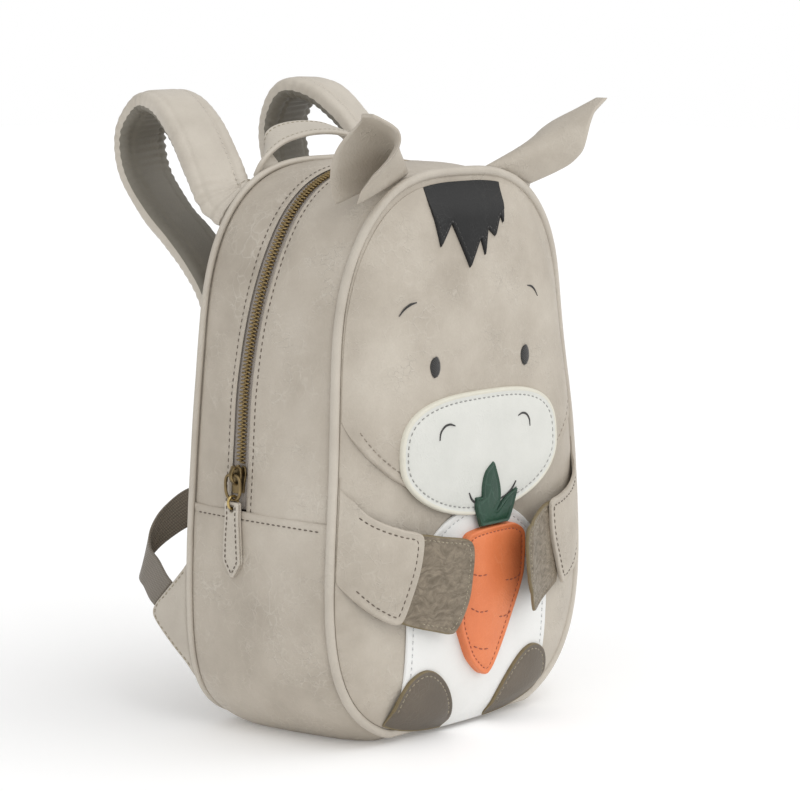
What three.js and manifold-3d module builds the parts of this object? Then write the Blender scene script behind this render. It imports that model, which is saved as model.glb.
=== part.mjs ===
// A child's backpack shaped like a donkey, in soft imitation leather.
// Millimetres, +Z up, front towards -Y, origin at the middle of the flat base.
// The bag is a hollow shell: a domed front, a side band with a zip, and a padded back.
// Flat leather pieces lie on the domed front, and ears, handle and straps are sewn in the seams.
import * as THREE from 'three';
import { mergeVertices } from 'three/addons/utils/BufferGeometryUtils.js';
import Module from 'manifold-3d';

const wasm = await Module();
wasm.setup();

// Driving sizes of the bag body
const HEIGHT = 325;
const BACK_RISE = 3;
const FRONT_HALF_WIDTH = 106;
const BACK_HALF_WIDTH = 112.5;
const DEPTH = 108;
const WIDEST_AT = 107;
const SEAM_LIFT = 6.5;
const SQUARENESS = 3;
const LOW_BACK_SQUARENESS = 4.4;
const WAIST_DIP = 3.2;
const WAIST_AT = 162;
const CHEEK_DIP = 5;
const CHEEK_AT = 222;
const WAIST_SPREAD = 48;
const RIM_SET_BACK = 5;
const RIM_SET_AT = 240;
const RIM_SPREAD = 55;
const SIDE_SWELL = 3;
const BOTTOM_SWELL = 8;
const DOME = 16.3;
const DOME_FULLNESS = 5.3;
const BACK_PAD = 6;
const BACK_FLAT_SHARE = 0.5;
const PANEL_CENTRE = 147;

// Leather, seams and clearances
const WALL = 2;
const GAP = 0.4;
const PIPING_RADIUS = 2.7;
const BACK_PIPING_RADIUS = 2;
const SEAM_HEIGHT = 134;
const SEAM_LAP = 8;

// Zip
const ZIP_OPENING = 13;
const ZIP_Y_TOP = 6;
const ZIP_Y_SIDE = 16;
const ZIP_TURN_LOW = 192;
const ZIP_TURN_HIGH = 292;
const TAPE_THICK = 0.9;
const CHAIN = { width: 6, thick: 2 };
const SLIDER = { z: 152, width: 9, length: 16, thick: 5.8, seat: 1.05 };
const WIRE_RADIUS = 0.9;
const ARCH_CLEAR = 0.8;
const RING = { width: 13, height: 14.4 };
const LINK_RADIUS = 3.6;
const PULL_TAB = { width: 14, length: 44, thick: 3.6, tip: 9, hole: 2, edge: 1.6, stand_off: 1.5 };

// Overlays on the front: centre x and z, width and height
const CHIN = { x: 0, z: 138, width: 100, height: 72 };
const MUZZLE = { half: 66.5, z: 165, up: 36, down: 36, top_power: 3, bottom_power: 1.95 };
const BELLY = { half: 60, z: 77, up: 58 };
const SLEEVE = { x: 81, z: 119, width: 47, height: 87, seam_lift: 0.6, wrist: 58 };
const HAND = { x: 46, z: 95, width: 52, height: 60, tip: 20 };
const WRIST_LIFT = { left: 8.5, right: 8.5 };
const ARM_MOVE = { left: { inward: 0, up: 0 }, right: { inward: 5, up: 4 } };
const HAND_CURL = { left: 0, right: 10 };
const CARROT = { x: 5.5, z: 77.7, width: 56, height: 87.5, thick: 5 };
const LEAVES = { x: 8, width: 34, height: 38, thick: 2.4, lift: 5 };
const FOOT = { x: 41, z: 23, width: 50, height: 42 };
const MANE = { x: 0, width: 64, height: 54 };
const EYE = { x: 38.2, z: 217.5, width: 8.5, height: 9.5, thick: 0.8 };

// Ears: the crease runs from the seam to the tip, and both layers open away from it
const EAR_ROOT = { x: 33, y: -45, sink: 3 };
const EAR_THICK = 2.4;
const EAR_LAYERS = { left: { back: 46, front: 50 }, right: { back: 44, front: 36 } };
const EAR_ARCH = { left: 5, right: -2 };
const EAR_TIPS = { left: { x: 92, y: -70, z: 360 }, right: { x: 112, y: -67, z: 364 } };

// Handle and straps behind the back
const HANDLE = { x: 44, rise: 23, width: 22, thick: 3, apex_y: 66, root_y: 58.6 };
const STRAP = { x: 54, width: 37, thick: 14, drop: 162 };
const STRAP_LOOP = {
  left: { root_y: 57.2, back: 102, rise: 1 },
  right: { root_y: 59.1, back: 87, rise: 1.1 },
};
const STRAP_ROOT = { x: 71, z: 304, width: 35, slant: 0.75 };
const ADJUSTER = { width: 32, height: 14, thick: 5 };
const WEBBING = { width: 23, thick: 1.7 };
const WING = { top: 97, bottom: 29, reach: 31, tip_z: 64, thick: 4 };

// Facets
const AROUND = 40;
const PANEL_RINGS = 5;
const PIPE_SIDES = 6;

const COLOURS = {
  taupe: { color: 0xb7ad9c, roughness: 0.55 },
  pale: { color: 0xdadbd5, roughness: 0.5 },
  brown: { color: 0x736858, roughness: 0.6 },
  orange: { color: 0xd77346, roughness: 0.55 },
  green: { color: 0x284b37, roughness: 0.6 },
  black: { color: 0x323230, roughness: 0.5 },
  thread: { color: 0x1d1b1a, roughness: 0.8 },
  tape: { color: 0xb5a9a4, roughness: 0.9 },
  webbing: { color: 0x786c5a, roughness: 0.9 },
  brass: { color: 0x8a6f43, roughness: 0.4, metalness: 0.9 },
};

const bag = new THREE.Group();

function addPiece(name, geometry, colour) {
  const mesh = new THREE.Mesh(geometry, new THREE.MeshStandardMaterial(COLOURS[colour]));
  mesh.name = name;
  bag.add(mesh);
  return mesh;
}

const lerp = (from, to, share) => from + (to - from) * share;
const smooth = (share) => THREE.MathUtils.smoothstep(share, 0, 1);
const limit = (value) => THREE.MathUtils.clamp(value, 0, 1);
const vec = (x, y, z) => new THREE.Vector3(x, y, z);

// Closed meshes from points and triangles, turned to face outwards
function closedMesh(points, faces) {
  let volume = 0;
  for (const [a, b, c] of faces) {
    volume += points[a].dot(points[b].clone().cross(points[c]));
  }
  const index = faces.flatMap(([a, b, c]) => (volume > 0 ? [a, b, c] : [a, c, b]));
  const geometry = new THREE.BufferGeometry();
  geometry.setAttribute('position', new THREE.Float32BufferAttribute(points.flatMap((p) => p.toArray()), 3));
  geometry.setIndex(index);
  return geometry;
}

// A thin wall between two matching grids of points
function slab(front, back, closed = false) {
  const rows = front.length;
  const columns = front[0].length;
  const at = (side, i, j) => (side * rows + (i % rows)) * columns + j;
  const faces = [];
  const quad = (a, b, c, d) => faces.push([a, b, c], [a, c, d]);
  const lastRow = closed ? rows : rows - 1;
  const last = columns - 1;
  for (let i = 0; i < lastRow; i += 1) {
    for (let j = 0; j < last; j += 1) {
      quad(at(0, i, j), at(0, i + 1, j), at(0, i + 1, j + 1), at(0, i, j + 1));
      quad(at(1, i, j), at(1, i, j + 1), at(1, i + 1, j + 1), at(1, i + 1, j));
    }
    quad(at(0, i, 0), at(1, i, 0), at(1, i + 1, 0), at(0, i + 1, 0));
    quad(at(0, i, last), at(0, i + 1, last), at(1, i + 1, last), at(1, i, last));
  }
  if (!closed) {
    for (let j = 0; j < last; j += 1) {
      quad(at(0, 0, j), at(0, 0, j + 1), at(1, 0, j + 1), at(1, 0, j));
      quad(at(0, rows - 1, j), at(1, rows - 1, j), at(1, rows - 1, j + 1), at(0, rows - 1, j + 1));
    }
  }
  return closedMesh([...front.flat(), ...back.flat()], faces);
}

// A sheet of even thickness around a grid of points
function sheet(middle, thick) {
  const rows = middle.length;
  const columns = middle[0].length;
  const side = (sign) => middle.map((row, i) => row.map((point, j) => {
    const along = middle[Math.min(i + 1, rows - 1)][j].clone().sub(middle[Math.max(i - 1, 0)][j]);
    const across = row[Math.min(j + 1, columns - 1)].clone().sub(row[Math.max(j - 1, 0)]);
    return point.clone().addScaledVector(along.cross(across).normalize(), sign * thick / 2);
  }));
  return slab(side(1), side(-1));
}

// A bar through rings of points: closed on itself, or capped at both ends
function bar(rings, closed = false) {
  const sides = rings[0].length;
  const at = (i, j) => (i % rings.length) * sides + (j % sides);
  const points = rings.flat();
  const faces = [];
  const lastRing = closed ? rings.length : rings.length - 1;
  for (let i = 0; i < lastRing; i += 1) {
    for (let j = 0; j < sides; j += 1) {
      faces.push([at(i, j), at(i + 1, j), at(i + 1, j + 1)], [at(i, j), at(i + 1, j + 1), at(i, j + 1)]);
    }
  }
  if (!closed) {
    for (const [ring, turn] of [[0, 1], [rings.length - 1, 0]]) {
      const middle = rings[ring].reduce((sum, p) => sum.add(p), vec(0, 0, 0)).divideScalar(sides);
      points.push(middle);
      for (let j = 0; j < sides; j += 1) {
        const pair = turn ? [at(ring, j), at(ring, j + 1)] : [at(ring, j + 1), at(ring, j)];
        faces.push([points.length - 1, ...pair]);
      }
    }
  }
  return closedMesh(points, faces);
}

// Boolean work on closed geometries
function toSolid(geometry) {
  const bare = geometry.clone();
  for (const name of ['normal', 'uv']) {
    bare.deleteAttribute(name);
  }
  const merged = mergeVertices(bare, 1e-4);
  return new wasm.Manifold(new wasm.Mesh({
    numProp: 3,
    vertProperties: new Float32Array(merged.attributes.position.array),
    triVerts: new Uint32Array(merged.index.array),
  }));
}

function toGeometry(solid) {
  const mesh = solid.getMesh();
  const geometry = new THREE.BufferGeometry();
  geometry.setAttribute('position', new THREE.BufferAttribute(new Float32Array(mesh.vertProperties), 3));
  geometry.setIndex(new THREE.BufferAttribute(new Uint32Array(mesh.triVerts), 1));
  return geometry;
}

const bell = (value, middle, spread) => Math.exp(-(((value - middle) / spread) ** 2));
const waistAt = (z) => WAIST_DIP * bell(z, WAIST_AT, WAIST_SPREAD) + CHEEK_DIP * bell(z, CHEEK_AT, WAIST_SPREAD);

// The bag's outline at a share of the depth: angle 0 is the top, and it runs clockwise from the front
function outlinePoint(angle, deep) {
  const up = Math.cos(angle);
  const across = Math.sin(angle);
  const power = 2 / (up > 0 ? SQUARENESS : lerp(SQUARENESS, LOW_BACK_SQUARENESS, deep));
  const reach = up > 0 ? HEIGHT - WIDEST_AT + BACK_RISE * deep : WIDEST_AT;
  const z = WIDEST_AT + Math.sign(up) * reach * Math.abs(up) ** power;
  const half = lerp(FRONT_HALF_WIDTH, BACK_HALF_WIDTH, deep) - waistAt(z);
  return new THREE.Vector2(Math.sign(across) * Math.abs(across) ** power * half, z);
}

const deepAt = (y) => limit(y / DEPTH + 0.5);

// The front seam sits further back beside the cheeks
const rimSetBack = (z) => RIM_SET_BACK * bell(z, RIM_SET_AT, RIM_SPREAD);

// The band under the bag sags between the seams until it lies on the floor
const floorAt = (y) => (SEAM_LIFT - WALL / 2) * limit((Math.abs(y) / (DEPTH / 2) - 0.8) / 0.15);

// A point on the side band, moved out from the outline and kept above the floor
function skin(angle, y, offset, floor = 0, swell = SIDE_SWELL) {
  const step = 0.002;
  const deep = deepAt(y);
  const here = outlinePoint(angle, deep);
  const along = outlinePoint(angle + step, deep).sub(outlinePoint(angle - step, deep)).normalize();
  const low = limit(-Math.cos(angle));
  const full = 1 - Math.abs(y / (DEPTH / 2)) ** lerp(2, 5, low);
  const out = offset + (swell && lerp(swell, BOTTOM_SWELL, low)) * full;
  const z = Math.max(here.y + along.x * out, floor);
  return vec(here.x - along.y * out, y + (1 - deep) * rimSetBack(z), z);
}

// The angle at which the outline passes a height, on the right-hand side
function angleAt(z) {
  return Math.acos(((z - WIDEST_AT) / (HEIGHT - WIDEST_AT)) ** (SQUARENESS / 2));
}

// Angles spaced evenly along the outline
function stations(from, to, count) {
  const steps = 1600;
  const angles = Array.from({ length: steps + 1 }, (_, i) => lerp(from, to, i / steps));
  const places = angles.map((angle) => skin(angle, 0, 0, 0, 0));
  const lengths = [0];
  for (let i = 1; i <= steps; i += 1) {
    lengths.push(lengths[i - 1] + places[i].distanceTo(places[i - 1]));
  }
  return Array.from({ length: count + 1 }, (_, k) => {
    const wanted = (lengths[steps] * k) / count;
    return angles[lengths.findIndex((length) => length >= wanted - 1e-6)];
  });
}

const AROUND_ANGLES = stations(0, 2 * Math.PI, AROUND).slice(0, AROUND);

// How far from the panel's middle a point lies: 0 at the middle, 1 on the outline
function panelShare(x, z) {
  const reach = z > WIDEST_AT ? HEIGHT - WIDEST_AT : WIDEST_AT;
  const across = Math.abs(x) / (FRONT_HALF_WIDTH - waistAt(z));
  return (across ** SQUARENESS + (Math.abs(z - WIDEST_AT) / reach) ** SQUARENESS) ** (1 / SQUARENESS);
}

function domeY(x, z) {
  const share = limit(panelShare(x, z));
  return -DEPTH / 2 + rimSetBack(z) * share ** 3 - DOME * (1 - share ** DOME_FULLNESS);
}

// A panel that fills the outline, between two surfaces given as y from x and z
function panel(deep, pipe, frontY, backY) {
  const y = (deep - 0.5) * DEPTH;
  const inset = pipe + GAP;
  const rim = AROUND_ANGLES.map((angle) => skin(angle, y, -inset, inset + SEAM_LIFT));
  const points = [];
  const faces = [];
  const at = (side, ring, j) => side * (PANEL_RINGS * AROUND + 1) + ring * AROUND + (j % AROUND);
  for (const surface of [frontY, backY]) {
    for (let ring = 0; ring < PANEL_RINGS; ring += 1) {
      const share = 1 - (1 - (ring + 1) / PANEL_RINGS) ** 1.7;
      for (const point of rim) {
        const x = point.x * share;
        const z = lerp(PANEL_CENTRE, point.z, share);
        points.push(vec(x, surface(x, z), z));
      }
    }
    points.push(vec(0, surface(0, PANEL_CENTRE), PANEL_CENTRE));
  }
  for (let j = 0; j < AROUND; j += 1) {
    for (const side of [0, 1]) {
      const add = (a, b, c) => faces.push(side ? [a, c, b] : [a, b, c]);
      add(at(side, PANEL_RINGS, 0), at(side, 0, j), at(side, 0, j + 1));
      for (let ring = 0; ring < PANEL_RINGS - 1; ring += 1) {
        add(at(side, ring, j), at(side, ring + 1, j), at(side, ring + 1, j + 1));
        add(at(side, ring, j), at(side, ring + 1, j + 1), at(side, ring, j + 1));
      }
    }
    const edge = PANEL_RINGS - 1;
    faces.push([at(0, edge, j), at(1, edge, j), at(1, edge, j + 1)]);
    faces.push([at(0, edge, j), at(1, edge, j + 1), at(0, edge, j + 1)]);
  }
  return closedMesh(points, faces);
}

const FRONT_INSET = PIPING_RADIUS + GAP;

// A layer of leather on the domed front, between two lifts off its face
function layer(low, high) {
  const lift = (value, x, z) => (typeof value === 'function' ? value(x, z) : value);
  return toSolid(panel(
    0,
    PIPING_RADIUS,
    (x, z) => domeY(x, z) - lift(high, x, z),
    (x, z) => domeY(x, z) - lift(low, x, z),
  ));
}

// Smooth outlines through rows of [across, up, corner], as shares of a named width and height
function outlineShape(rows, place, side = 1, steps = 2) {
  const knots = rows.map(([across, up]) => new THREE.Vector2(
    side * (place.x + across * place.width),
    place.z + up * place.height,
  ));
  const count = knots.length;
  const knot = (i) => knots[(i + count) % count];
  const slope = (i, next) => {
    if (rows[(i + count) % count][2]) {
      return next ? knot(i + 1).clone().sub(knot(i)) : knot(i).clone().sub(knot(i - 1));
    }
    return knot(i + 1).clone().sub(knot(i - 1)).multiplyScalar(0.5);
  };
  const points = [];
  for (let i = 0; i < count; i += 1) {
    const leave = slope(i, true);
    const arrive = slope(i + 1, false);
    for (let k = 0; k < steps; k += 1) {
      const t = k / steps;
      points.push(knot(i).clone().multiplyScalar(2 * t ** 3 - 3 * t ** 2 + 1)
        .addScaledVector(leave, t ** 3 - 2 * t ** 2 + t)
        .addScaledVector(knot(i + 1), -2 * t ** 3 + 3 * t ** 2)
        .addScaledVector(arrive, t ** 3 - t ** 2));
    }
  }
  return points;
}

// A prism through the whole front, from an outline in x and z
function prism(outline) {
  const depth = DEPTH + DOME;
  const geometry = new THREE.ExtrudeGeometry(new THREE.Shape(outline), { depth, bevelEnabled: false });
  return toSolid(geometry.rotateX(Math.PI / 2));
}

const overlay = (outline, low, high) => toGeometry(prism(outline).intersect(layer(low, high)));

// Heights of the layers above the front panel
const FIRST = GAP;
const FACE_TOP = FIRST + WALL;
const SECOND = FACE_TOP + GAP;
const BELLY_TOP = FIRST + WALL * 0.8;

// Front panel and what lies on it
const CHIN_ROWS = [
  [0, 0], [0.4, 0.07], [0.57, 0.17], [0.69, 0.26], [0.79, 0.37], [0.86, 0.47],
  [0.93, 0.62], [0.96, 0.74], [0.99, 0.87], [1, 1], [1.04, 1.12],
];
const CARROT_ROWS = [
  [-0.4, 0.44], [-0.22, 0.49], [0.22, 0.5], [0.38, 0.48], [0.48, 0.43], [0.5, 0.36], [0.49, 0.21],
  [0.45, 0.09], [0.28, -0.14], [0.07, -0.41], [-0.02, -0.49], [-0.08, -0.5], [-0.19, -0.46],
  [-0.34, -0.36], [-0.44, -0.23], [-0.5, -0.12], [-0.5, 0.05], [-0.46, 0.25],
];
const LEAF_ROWS = [
  [-0.39, -0.5, true], [-0.49, -0.24], [-0.51, -0.04, true], [-0.35, -0.04, true], [-0.35, 0.12],
  [-0.27, 0.33], [-0.06, 0.48, true], [0.08, 0.13], [0.1, -0.12], [-0.01, -0.29, true],
  [0.29, -0.09], [0.55, 0.01, true], [0.42, -0.3], [0.31, -0.5, true],
];
const SLEEVE_ROWS = [
  [0.57, 0.51, true], [0.43, 0.49], [0.38, 0.4], [0.28, 0.32], [0.14, 0.23], [-0.04, 0.17],
  [-0.27, 0.12], [-0.46, 0.09], [-0.53, 0.05], [-0.52, -0.06], [-0.47, -0.18], [-0.37, -0.33],
  [-0.26, -0.47], [-0.18, -0.5], [-0.04, -0.47], [0.15, -0.4], [0.32, -0.31], [0.44, -0.22],
  [0.51, -0.14], [0.66, -0.13, true],
];
const HAND_ROWS = [
  [0.46, 0.5, true], [0.17, 0.5], [-0.12, 0.45], [-0.41, 0.4], [-0.5, 0.34], [-0.52, 0.22],
  [-0.5, 0.04], [-0.46, -0.17], [-0.38, -0.34], [-0.3, -0.45], [-0.21, -0.5], [0.01, -0.45],
  [0.24, -0.39], [0.42, -0.33, true], [0.46, -0.23, true],
];
const FOOT_ROWS = [
  [-0.48, -0.36], [-0.42, -0.07], [-0.26, 0.24], [-0.06, 0.45], [0.14, 0.5], [0.34, 0.38],
  [0.46, 0.12], [0.5, -0.21], [0.48, -0.5, true], [-0.44, -0.5, true],
];
const MANE_ROWS = [
  [-0.52, 0.15, true], [-0.5, -0.11], [-0.48, -0.43], [-0.44, -0.76, true], [-0.27, -0.52, true],
  [-0.09, -1, true], [0.08, -0.7, true], [0.12, -0.89, true], [0.19, -0.61, true], [0.28, -0.7, true],
  [0.38, -0.48, true], [0.41, -0.57, true], [0.47, -0.33], [0.5, -0.09], [0.52, 0.15, true],
];

function makeFront() {
  const shell = panel(0, PIPING_RADIUS, domeY, (x, z) => domeY(x, z) + WALL * 1.1);
  addPiece('front_panel', shell, 'taupe');

  const chin = CHIN_ROWS.map(([across, up]) => [across * CHIN.width, CHIN.z + up * CHIN.height]);
  const roof = [[HEIGHT, HEIGHT * 1.2], [-HEIGHT, HEIGHT * 1.2]];
  const mirrored = chin.slice(1).map(([x, z]) => [-x, z]).reverse();
  const face = [...chin, ...roof, ...mirrored].map(([x, z]) => new THREE.Vector2(x, z));
  addPiece('face_panel', overlay(face, FIRST, FACE_TOP), 'taupe');

  const ring = 26;
  const muzzle = Array.from({ length: ring }, (_, k) => {
    const angle = ((k + 0.5) / ring) * 2 * Math.PI;
    const up = Math.sin(angle);
    const power = 2 / (up > 0 ? MUZZLE.top_power : MUZZLE.bottom_power);
    const reach = up > 0 ? MUZZLE.up : MUZZLE.down;
    const across = Math.cos(angle);
    return new THREE.Vector2(
      MUZZLE.half * Math.sign(across) * Math.abs(across) ** power,
      MUZZLE.z + reach * Math.sign(up) * Math.abs(up) ** power,
    );
  });
  addPiece('muzzle', overlay(muzzle, SECOND, SECOND + WALL), 'pale');

  const arch = 14;
  const belly = Array.from({ length: arch + 1 }, (_, k) => {
    const angle = (k / arch) * Math.PI;
    return new THREE.Vector2(BELLY.half * Math.cos(angle), BELLY.z + BELLY.up * Math.sin(angle));
  });
  belly.push(new THREE.Vector2(-BELLY.half, -BELLY.z), new THREE.Vector2(BELLY.half, -BELLY.z));
  addPiece('belly', overlay(belly, FIRST, BELLY_TOP), 'pale');

  const carrotLow = BELLY_TOP + GAP;
  addPiece('carrot', overlay(outlineShape(CARROT_ROWS, CARROT), carrotLow, carrotLow + CARROT.thick), 'orange');
  const leafBase = CARROT.z + CARROT.height / 2 + 2 * GAP;
  const leafShape = outlineShape(LEAF_ROWS, { ...LEAVES, z: leafBase + LEAVES.height / 2 });
  addPiece('carrot_leaves', overlay(leafShape, LEAVES.lift, LEAVES.lift + LEAVES.thick), 'green');

  const mane = { ...MANE, z: HEIGHT };
  addPiece('mane', overlay(outlineShape(MANE_ROWS, mane), SECOND, SECOND + WALL), 'black');

  for (const [name, side] of [['left', -1], ['right', 1]]) {
    const eye = Array.from({ length: 14 }, (_, k) => {
      const angle = (k / 14) * 2 * Math.PI;
      return new THREE.Vector2(
        side * EYE.x + (EYE.width / 2) * Math.cos(angle),
        EYE.z + (EYE.height / 2) * Math.sin(angle),
      );
    });
    addPiece(`eye_${name}`, overlay(eye, SECOND, SECOND + EYE.thick), 'thread');
    const foot = outlineShape(FOOT_ROWS, FOOT, side, 3);
    addPiece(`foot_${name}`, overlay(foot, BELLY_TOP + GAP, BELLY_TOP + GAP + WALL), 'brown');
    makeArm(name, side);
  }
}

// Each arm is a loose flap: the sleeve is sewn in the side seam and the hand hangs from its end
function makeArm(name, side) {
  const seam = FRONT_HALF_WIDTH - FRONT_INSET;
  const sleeveLift = (x) => {
    const reach = (seam - side * x) / (seam - SLEEVE.wrist);
    const curl = HAND_CURL[name] * limit((SLEEVE.wrist - side * x) / (SLEEVE.wrist - HAND.tip)) ** 2;
    return lerp(SLEEVE.seam_lift, WRIST_LIFT[name], reach) + curl;
  };
  const handLift = (x) => sleeveLift(x) - WALL - GAP;
  const move = ARM_MOVE[name];
  const moved = (place) => ({ ...place, x: place.x - move.inward, z: place.z + move.up });
  const sleeve = overlay(outlineShape(SLEEVE_ROWS, moved(SLEEVE), side), sleeveLift, (x) => sleeveLift(x) + WALL);
  addPiece(`arm_${name}`, sleeve, 'taupe');
  const hand = overlay(outlineShape(HAND_ROWS, moved(HAND), side), handLift, (x) => handLift(x) + WALL);
  addPiece(`hand_${name}`, hand, 'brown');
}

// Side band: two strips beside the zip over the top, and one strip under the bottom
function zipY(z) {
  const turn = smooth(limit((ZIP_TURN_HIGH - z) / (ZIP_TURN_HIGH - ZIP_TURN_LOW)));
  return lerp(ZIP_Y_TOP, ZIP_Y_SIDE, turn);
}

const BAND_FRONT = -DEPTH / 2 + FRONT_INSET;
const BAND_BACK = DEPTH / 2 - BACK_PIPING_RADIUS - GAP;
const UPPER_OUT = -WALL - GAP;
const TAPE_OUT = UPPER_OUT - WALL - GAP;

const FLOOR_COLUMNS = [0, 0.09, 0.3, 0.5, 0.7, 0.91, 1];

function band(angles, reachOf, columns, outer, thick, floored) {
  const grid = (offset, floor) => angles.map((angle) => {
    const [from, to] = reachOf(angle);
    return Array.from({ length: columns }, (_, j) => {
      const y = lerp(from, to, floored ? FLOOR_COLUMNS[j] : j / (columns - 1));
      return skin(angle, y, offset, floored ? floorAt(y) + floor : -Infinity);
    });
  });
  return slab(grid(outer, 0), grid(outer - thick, thick));
}

function makeBand() {
  const low = angleAt(SEAM_HEIGHT - SEAM_LAP);
  const arch = stations(-low, low, 34);
  const zipAt = (angle) => zipY(outlinePoint(angle, deepAt(ZIP_Y_TOP)).y);
  const half = ZIP_OPENING / 2;
  const front = band(arch, (a) => [BAND_FRONT, zipAt(a) - half], 4, UPPER_OUT, WALL);
  addPiece('gusset_front', front, 'taupe');
  const rear = band(arch, (a) => [zipAt(a) + half, BAND_BACK], 4, UPPER_OUT, WALL);
  addPiece('gusset_rear', rear, 'taupe');
  const tapeHalf = half + SEAM_LAP;
  const tape = band(arch, (a) => [zipAt(a) - tapeHalf, zipAt(a) + tapeHalf], 3, TAPE_OUT, TAPE_THICK);
  addPiece('zip_tape', tape, 'tape');

  const sliderTop = angleAt(SLIDER.z + SLIDER.length / 2 + GAP);
  const chainEnd = angleAt(SEAM_HEIGHT + GAP);
  const chainAngles = stations(-sliderTop, chainEnd, 33);
  const chainHalf = CHAIN.width / 2;
  const chainOut = TAPE_OUT + GAP + CHAIN.thick;
  const chain = band(chainAngles, (a) => [zipAt(a) - chainHalf, zipAt(a) + chainHalf], 2, chainOut, CHAIN.thick);
  addPiece('zip_teeth', chain, 'brass');

  const seam = angleAt(SEAM_HEIGHT);
  const columns = FLOOR_COLUMNS.length;
  const under = band(stations(seam, 2 * Math.PI - seam, 24), () => [BAND_FRONT, BAND_BACK], columns, 0, WALL, true);
  addPiece('gusset_bottom', under, 'taupe');
}

// Piping round the two seams
function pipe(y, radius) {
  const rings = AROUND_ANGLES.map((angle) => Array.from({ length: PIPE_SIDES }, (_, k) => {
    const turn = (k / PIPE_SIDES) * 2 * Math.PI;
    const centre = skin(angle, y, 0, SEAM_LIFT, 0);
    const out = skin(angle, y, 1, -Infinity, 0).sub(skin(angle, y, 0, -Infinity, 0)).setY(0);
    const dir = centre.z > SEAM_LIFT + 1e-6 ? out.normalize() : vec(0, 0, -1);
    return centre.addScaledVector(dir, radius * Math.cos(turn)).add(vec(0, radius * Math.sin(turn), 0));
  }));
  return bar(rings, true);
}

function makeBack() {
  const flatten = (x, z) => limit((panelShare(x, z) - BACK_FLAT_SHARE) / (1 - BACK_FLAT_SHARE));
  const faceY = (x, z) => DEPTH / 2 + BACK_PAD * (1 - flatten(x, z) ** 3);
  const inner = () => BAND_BACK + GAP;
  addPiece('back_panel', panel(1, BACK_PIPING_RADIUS, inner, faceY), 'taupe');
}

// Ears: two layers that part from a crease and open towards the tip
const EAR_ROWS = [
  // crease share, back layer, front layer, closing angle, crease roundness
  [0, 1, 1, 1.48, 3],
  [0.14, 0.98, 1.0, 1.36, 4.5],
  [0.28, 0.9, 0.95, 1.2, 7],
  [0.42, 0.74, 0.82, 1.0, 10],
  [0.56, 0.54, 0.62, 0.8, 13],
  [0.7, 0.34, 0.42, 0.6, 14],
  [0.84, 0.18, 0.22, 0.45, 14],
  [1, 0.07, 0.1, 0.35, 14],
];

function makeEar(name, side) {
  const tip = EAR_TIPS[name];
  const rootAngle = Math.asin((EAR_ROOT.x / FRONT_HALF_WIDTH) ** (SQUARENESS / 2));
  const root = skin(side * rootAngle, EAR_ROOT.y, UPPER_OUT + GAP + EAR_ROOT.sink);
  const below = skin(side * rootAngle * 1.8, EAR_ROOT.y, UPPER_OUT + GAP + EAR_ROOT.sink);
  const seamward = below.sub(root).normalize();
  const end = vec(side * tip.x, tip.y, tip.z);
  const steps = 5;
  const middle = EAR_ROWS.map(([share, back, front, closing, round]) => {
    const crease = root.clone().lerp(end, share);
    crease.z += EAR_ARCH[name] * Math.sin(Math.PI * share);
    const edge = (reach, toward) => Array.from({ length: steps }, (_, k) => {
      const parts = 12;
      const length = (reach * (k + 1)) / steps;
      const point = crease.clone();
      for (let i = 0; i < parts; i += 1) {
        const turn = closing * (1 - Math.exp(-((i + 0.5) * length) / parts / round));
        point.addScaledVector(vec(0, toward, 0), (Math.cos(turn) * length) / parts);
        point.addScaledVector(seamward, (Math.sin(turn) * length) / parts);
      }
      return point;
    });
    const frontEdge = edge(front * EAR_LAYERS[name].front, -1).reverse();
    return [...frontEdge, crease, ...edge(back * EAR_LAYERS[name].back, 1)];
  });
  addPiece(`ear_${name}`, sheet(middle, EAR_THICK), 'taupe');
}

// A flat band along a route, with its width direction at each place
function ribbon(route, widths, width, thick, steps) {
  const path = new THREE.CatmullRomCurve3(route, false, 'centripetal');
  const turns = new THREE.CatmullRomCurve3(widths, false, 'centripetal');
  const middle = Array.from({ length: steps + 1 }, (_, k) => {
    const dir = turns.getPoint(k / steps).normalize();
    const point = path.getPoint(k / steps);
    return [-0.5, 0, 0.5].map((share) => point.clone().addScaledVector(dir, share * width));
  });
  return sheet(middle, thick);
}

const backTop = (x, offset) => {
  const angle = Math.asin((Math.abs(x) / BACK_HALF_WIDTH) ** (SQUARENESS / 2)) * Math.sign(x || 1);
  return skin(angle, DEPTH / 2, offset, 0, 0).z;
};

function makeHandle() {
  const rows = [
    // across share, rise share, width direction
    [-1, 0, vec(0.8, 0, 0.25)],
    [-0.97, 0.35, vec(0.7, 0.5, 0.2)],
    [-0.72, 0.78, vec(0.3, 0.9, 0.25)],
    [-0.3, 1, vec(0, 1, 0.27)],
    [0.3, 1, vec(0, 1, 0.27)],
    [0.72, 0.78, vec(-0.3, 0.9, 0.25)],
    [0.97, 0.35, vec(-0.7, 0.5, 0.2)],
    [1, 0, vec(-0.8, 0, 0.25)],
  ];
  const foot = backTop(HANDLE.x, -1.5);
  const route = rows.map(([across, rise]) => vec(
    across * HANDLE.x,
    lerp(HANDLE.root_y, HANDLE.apex_y, smooth(rise)),
    foot + rise * HANDLE.rise,
  ));
  addPiece('handle', ribbon(route, rows.map((row) => row[2]), HANDLE.width, HANDLE.thick, 22), 'taupe');
}

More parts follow.
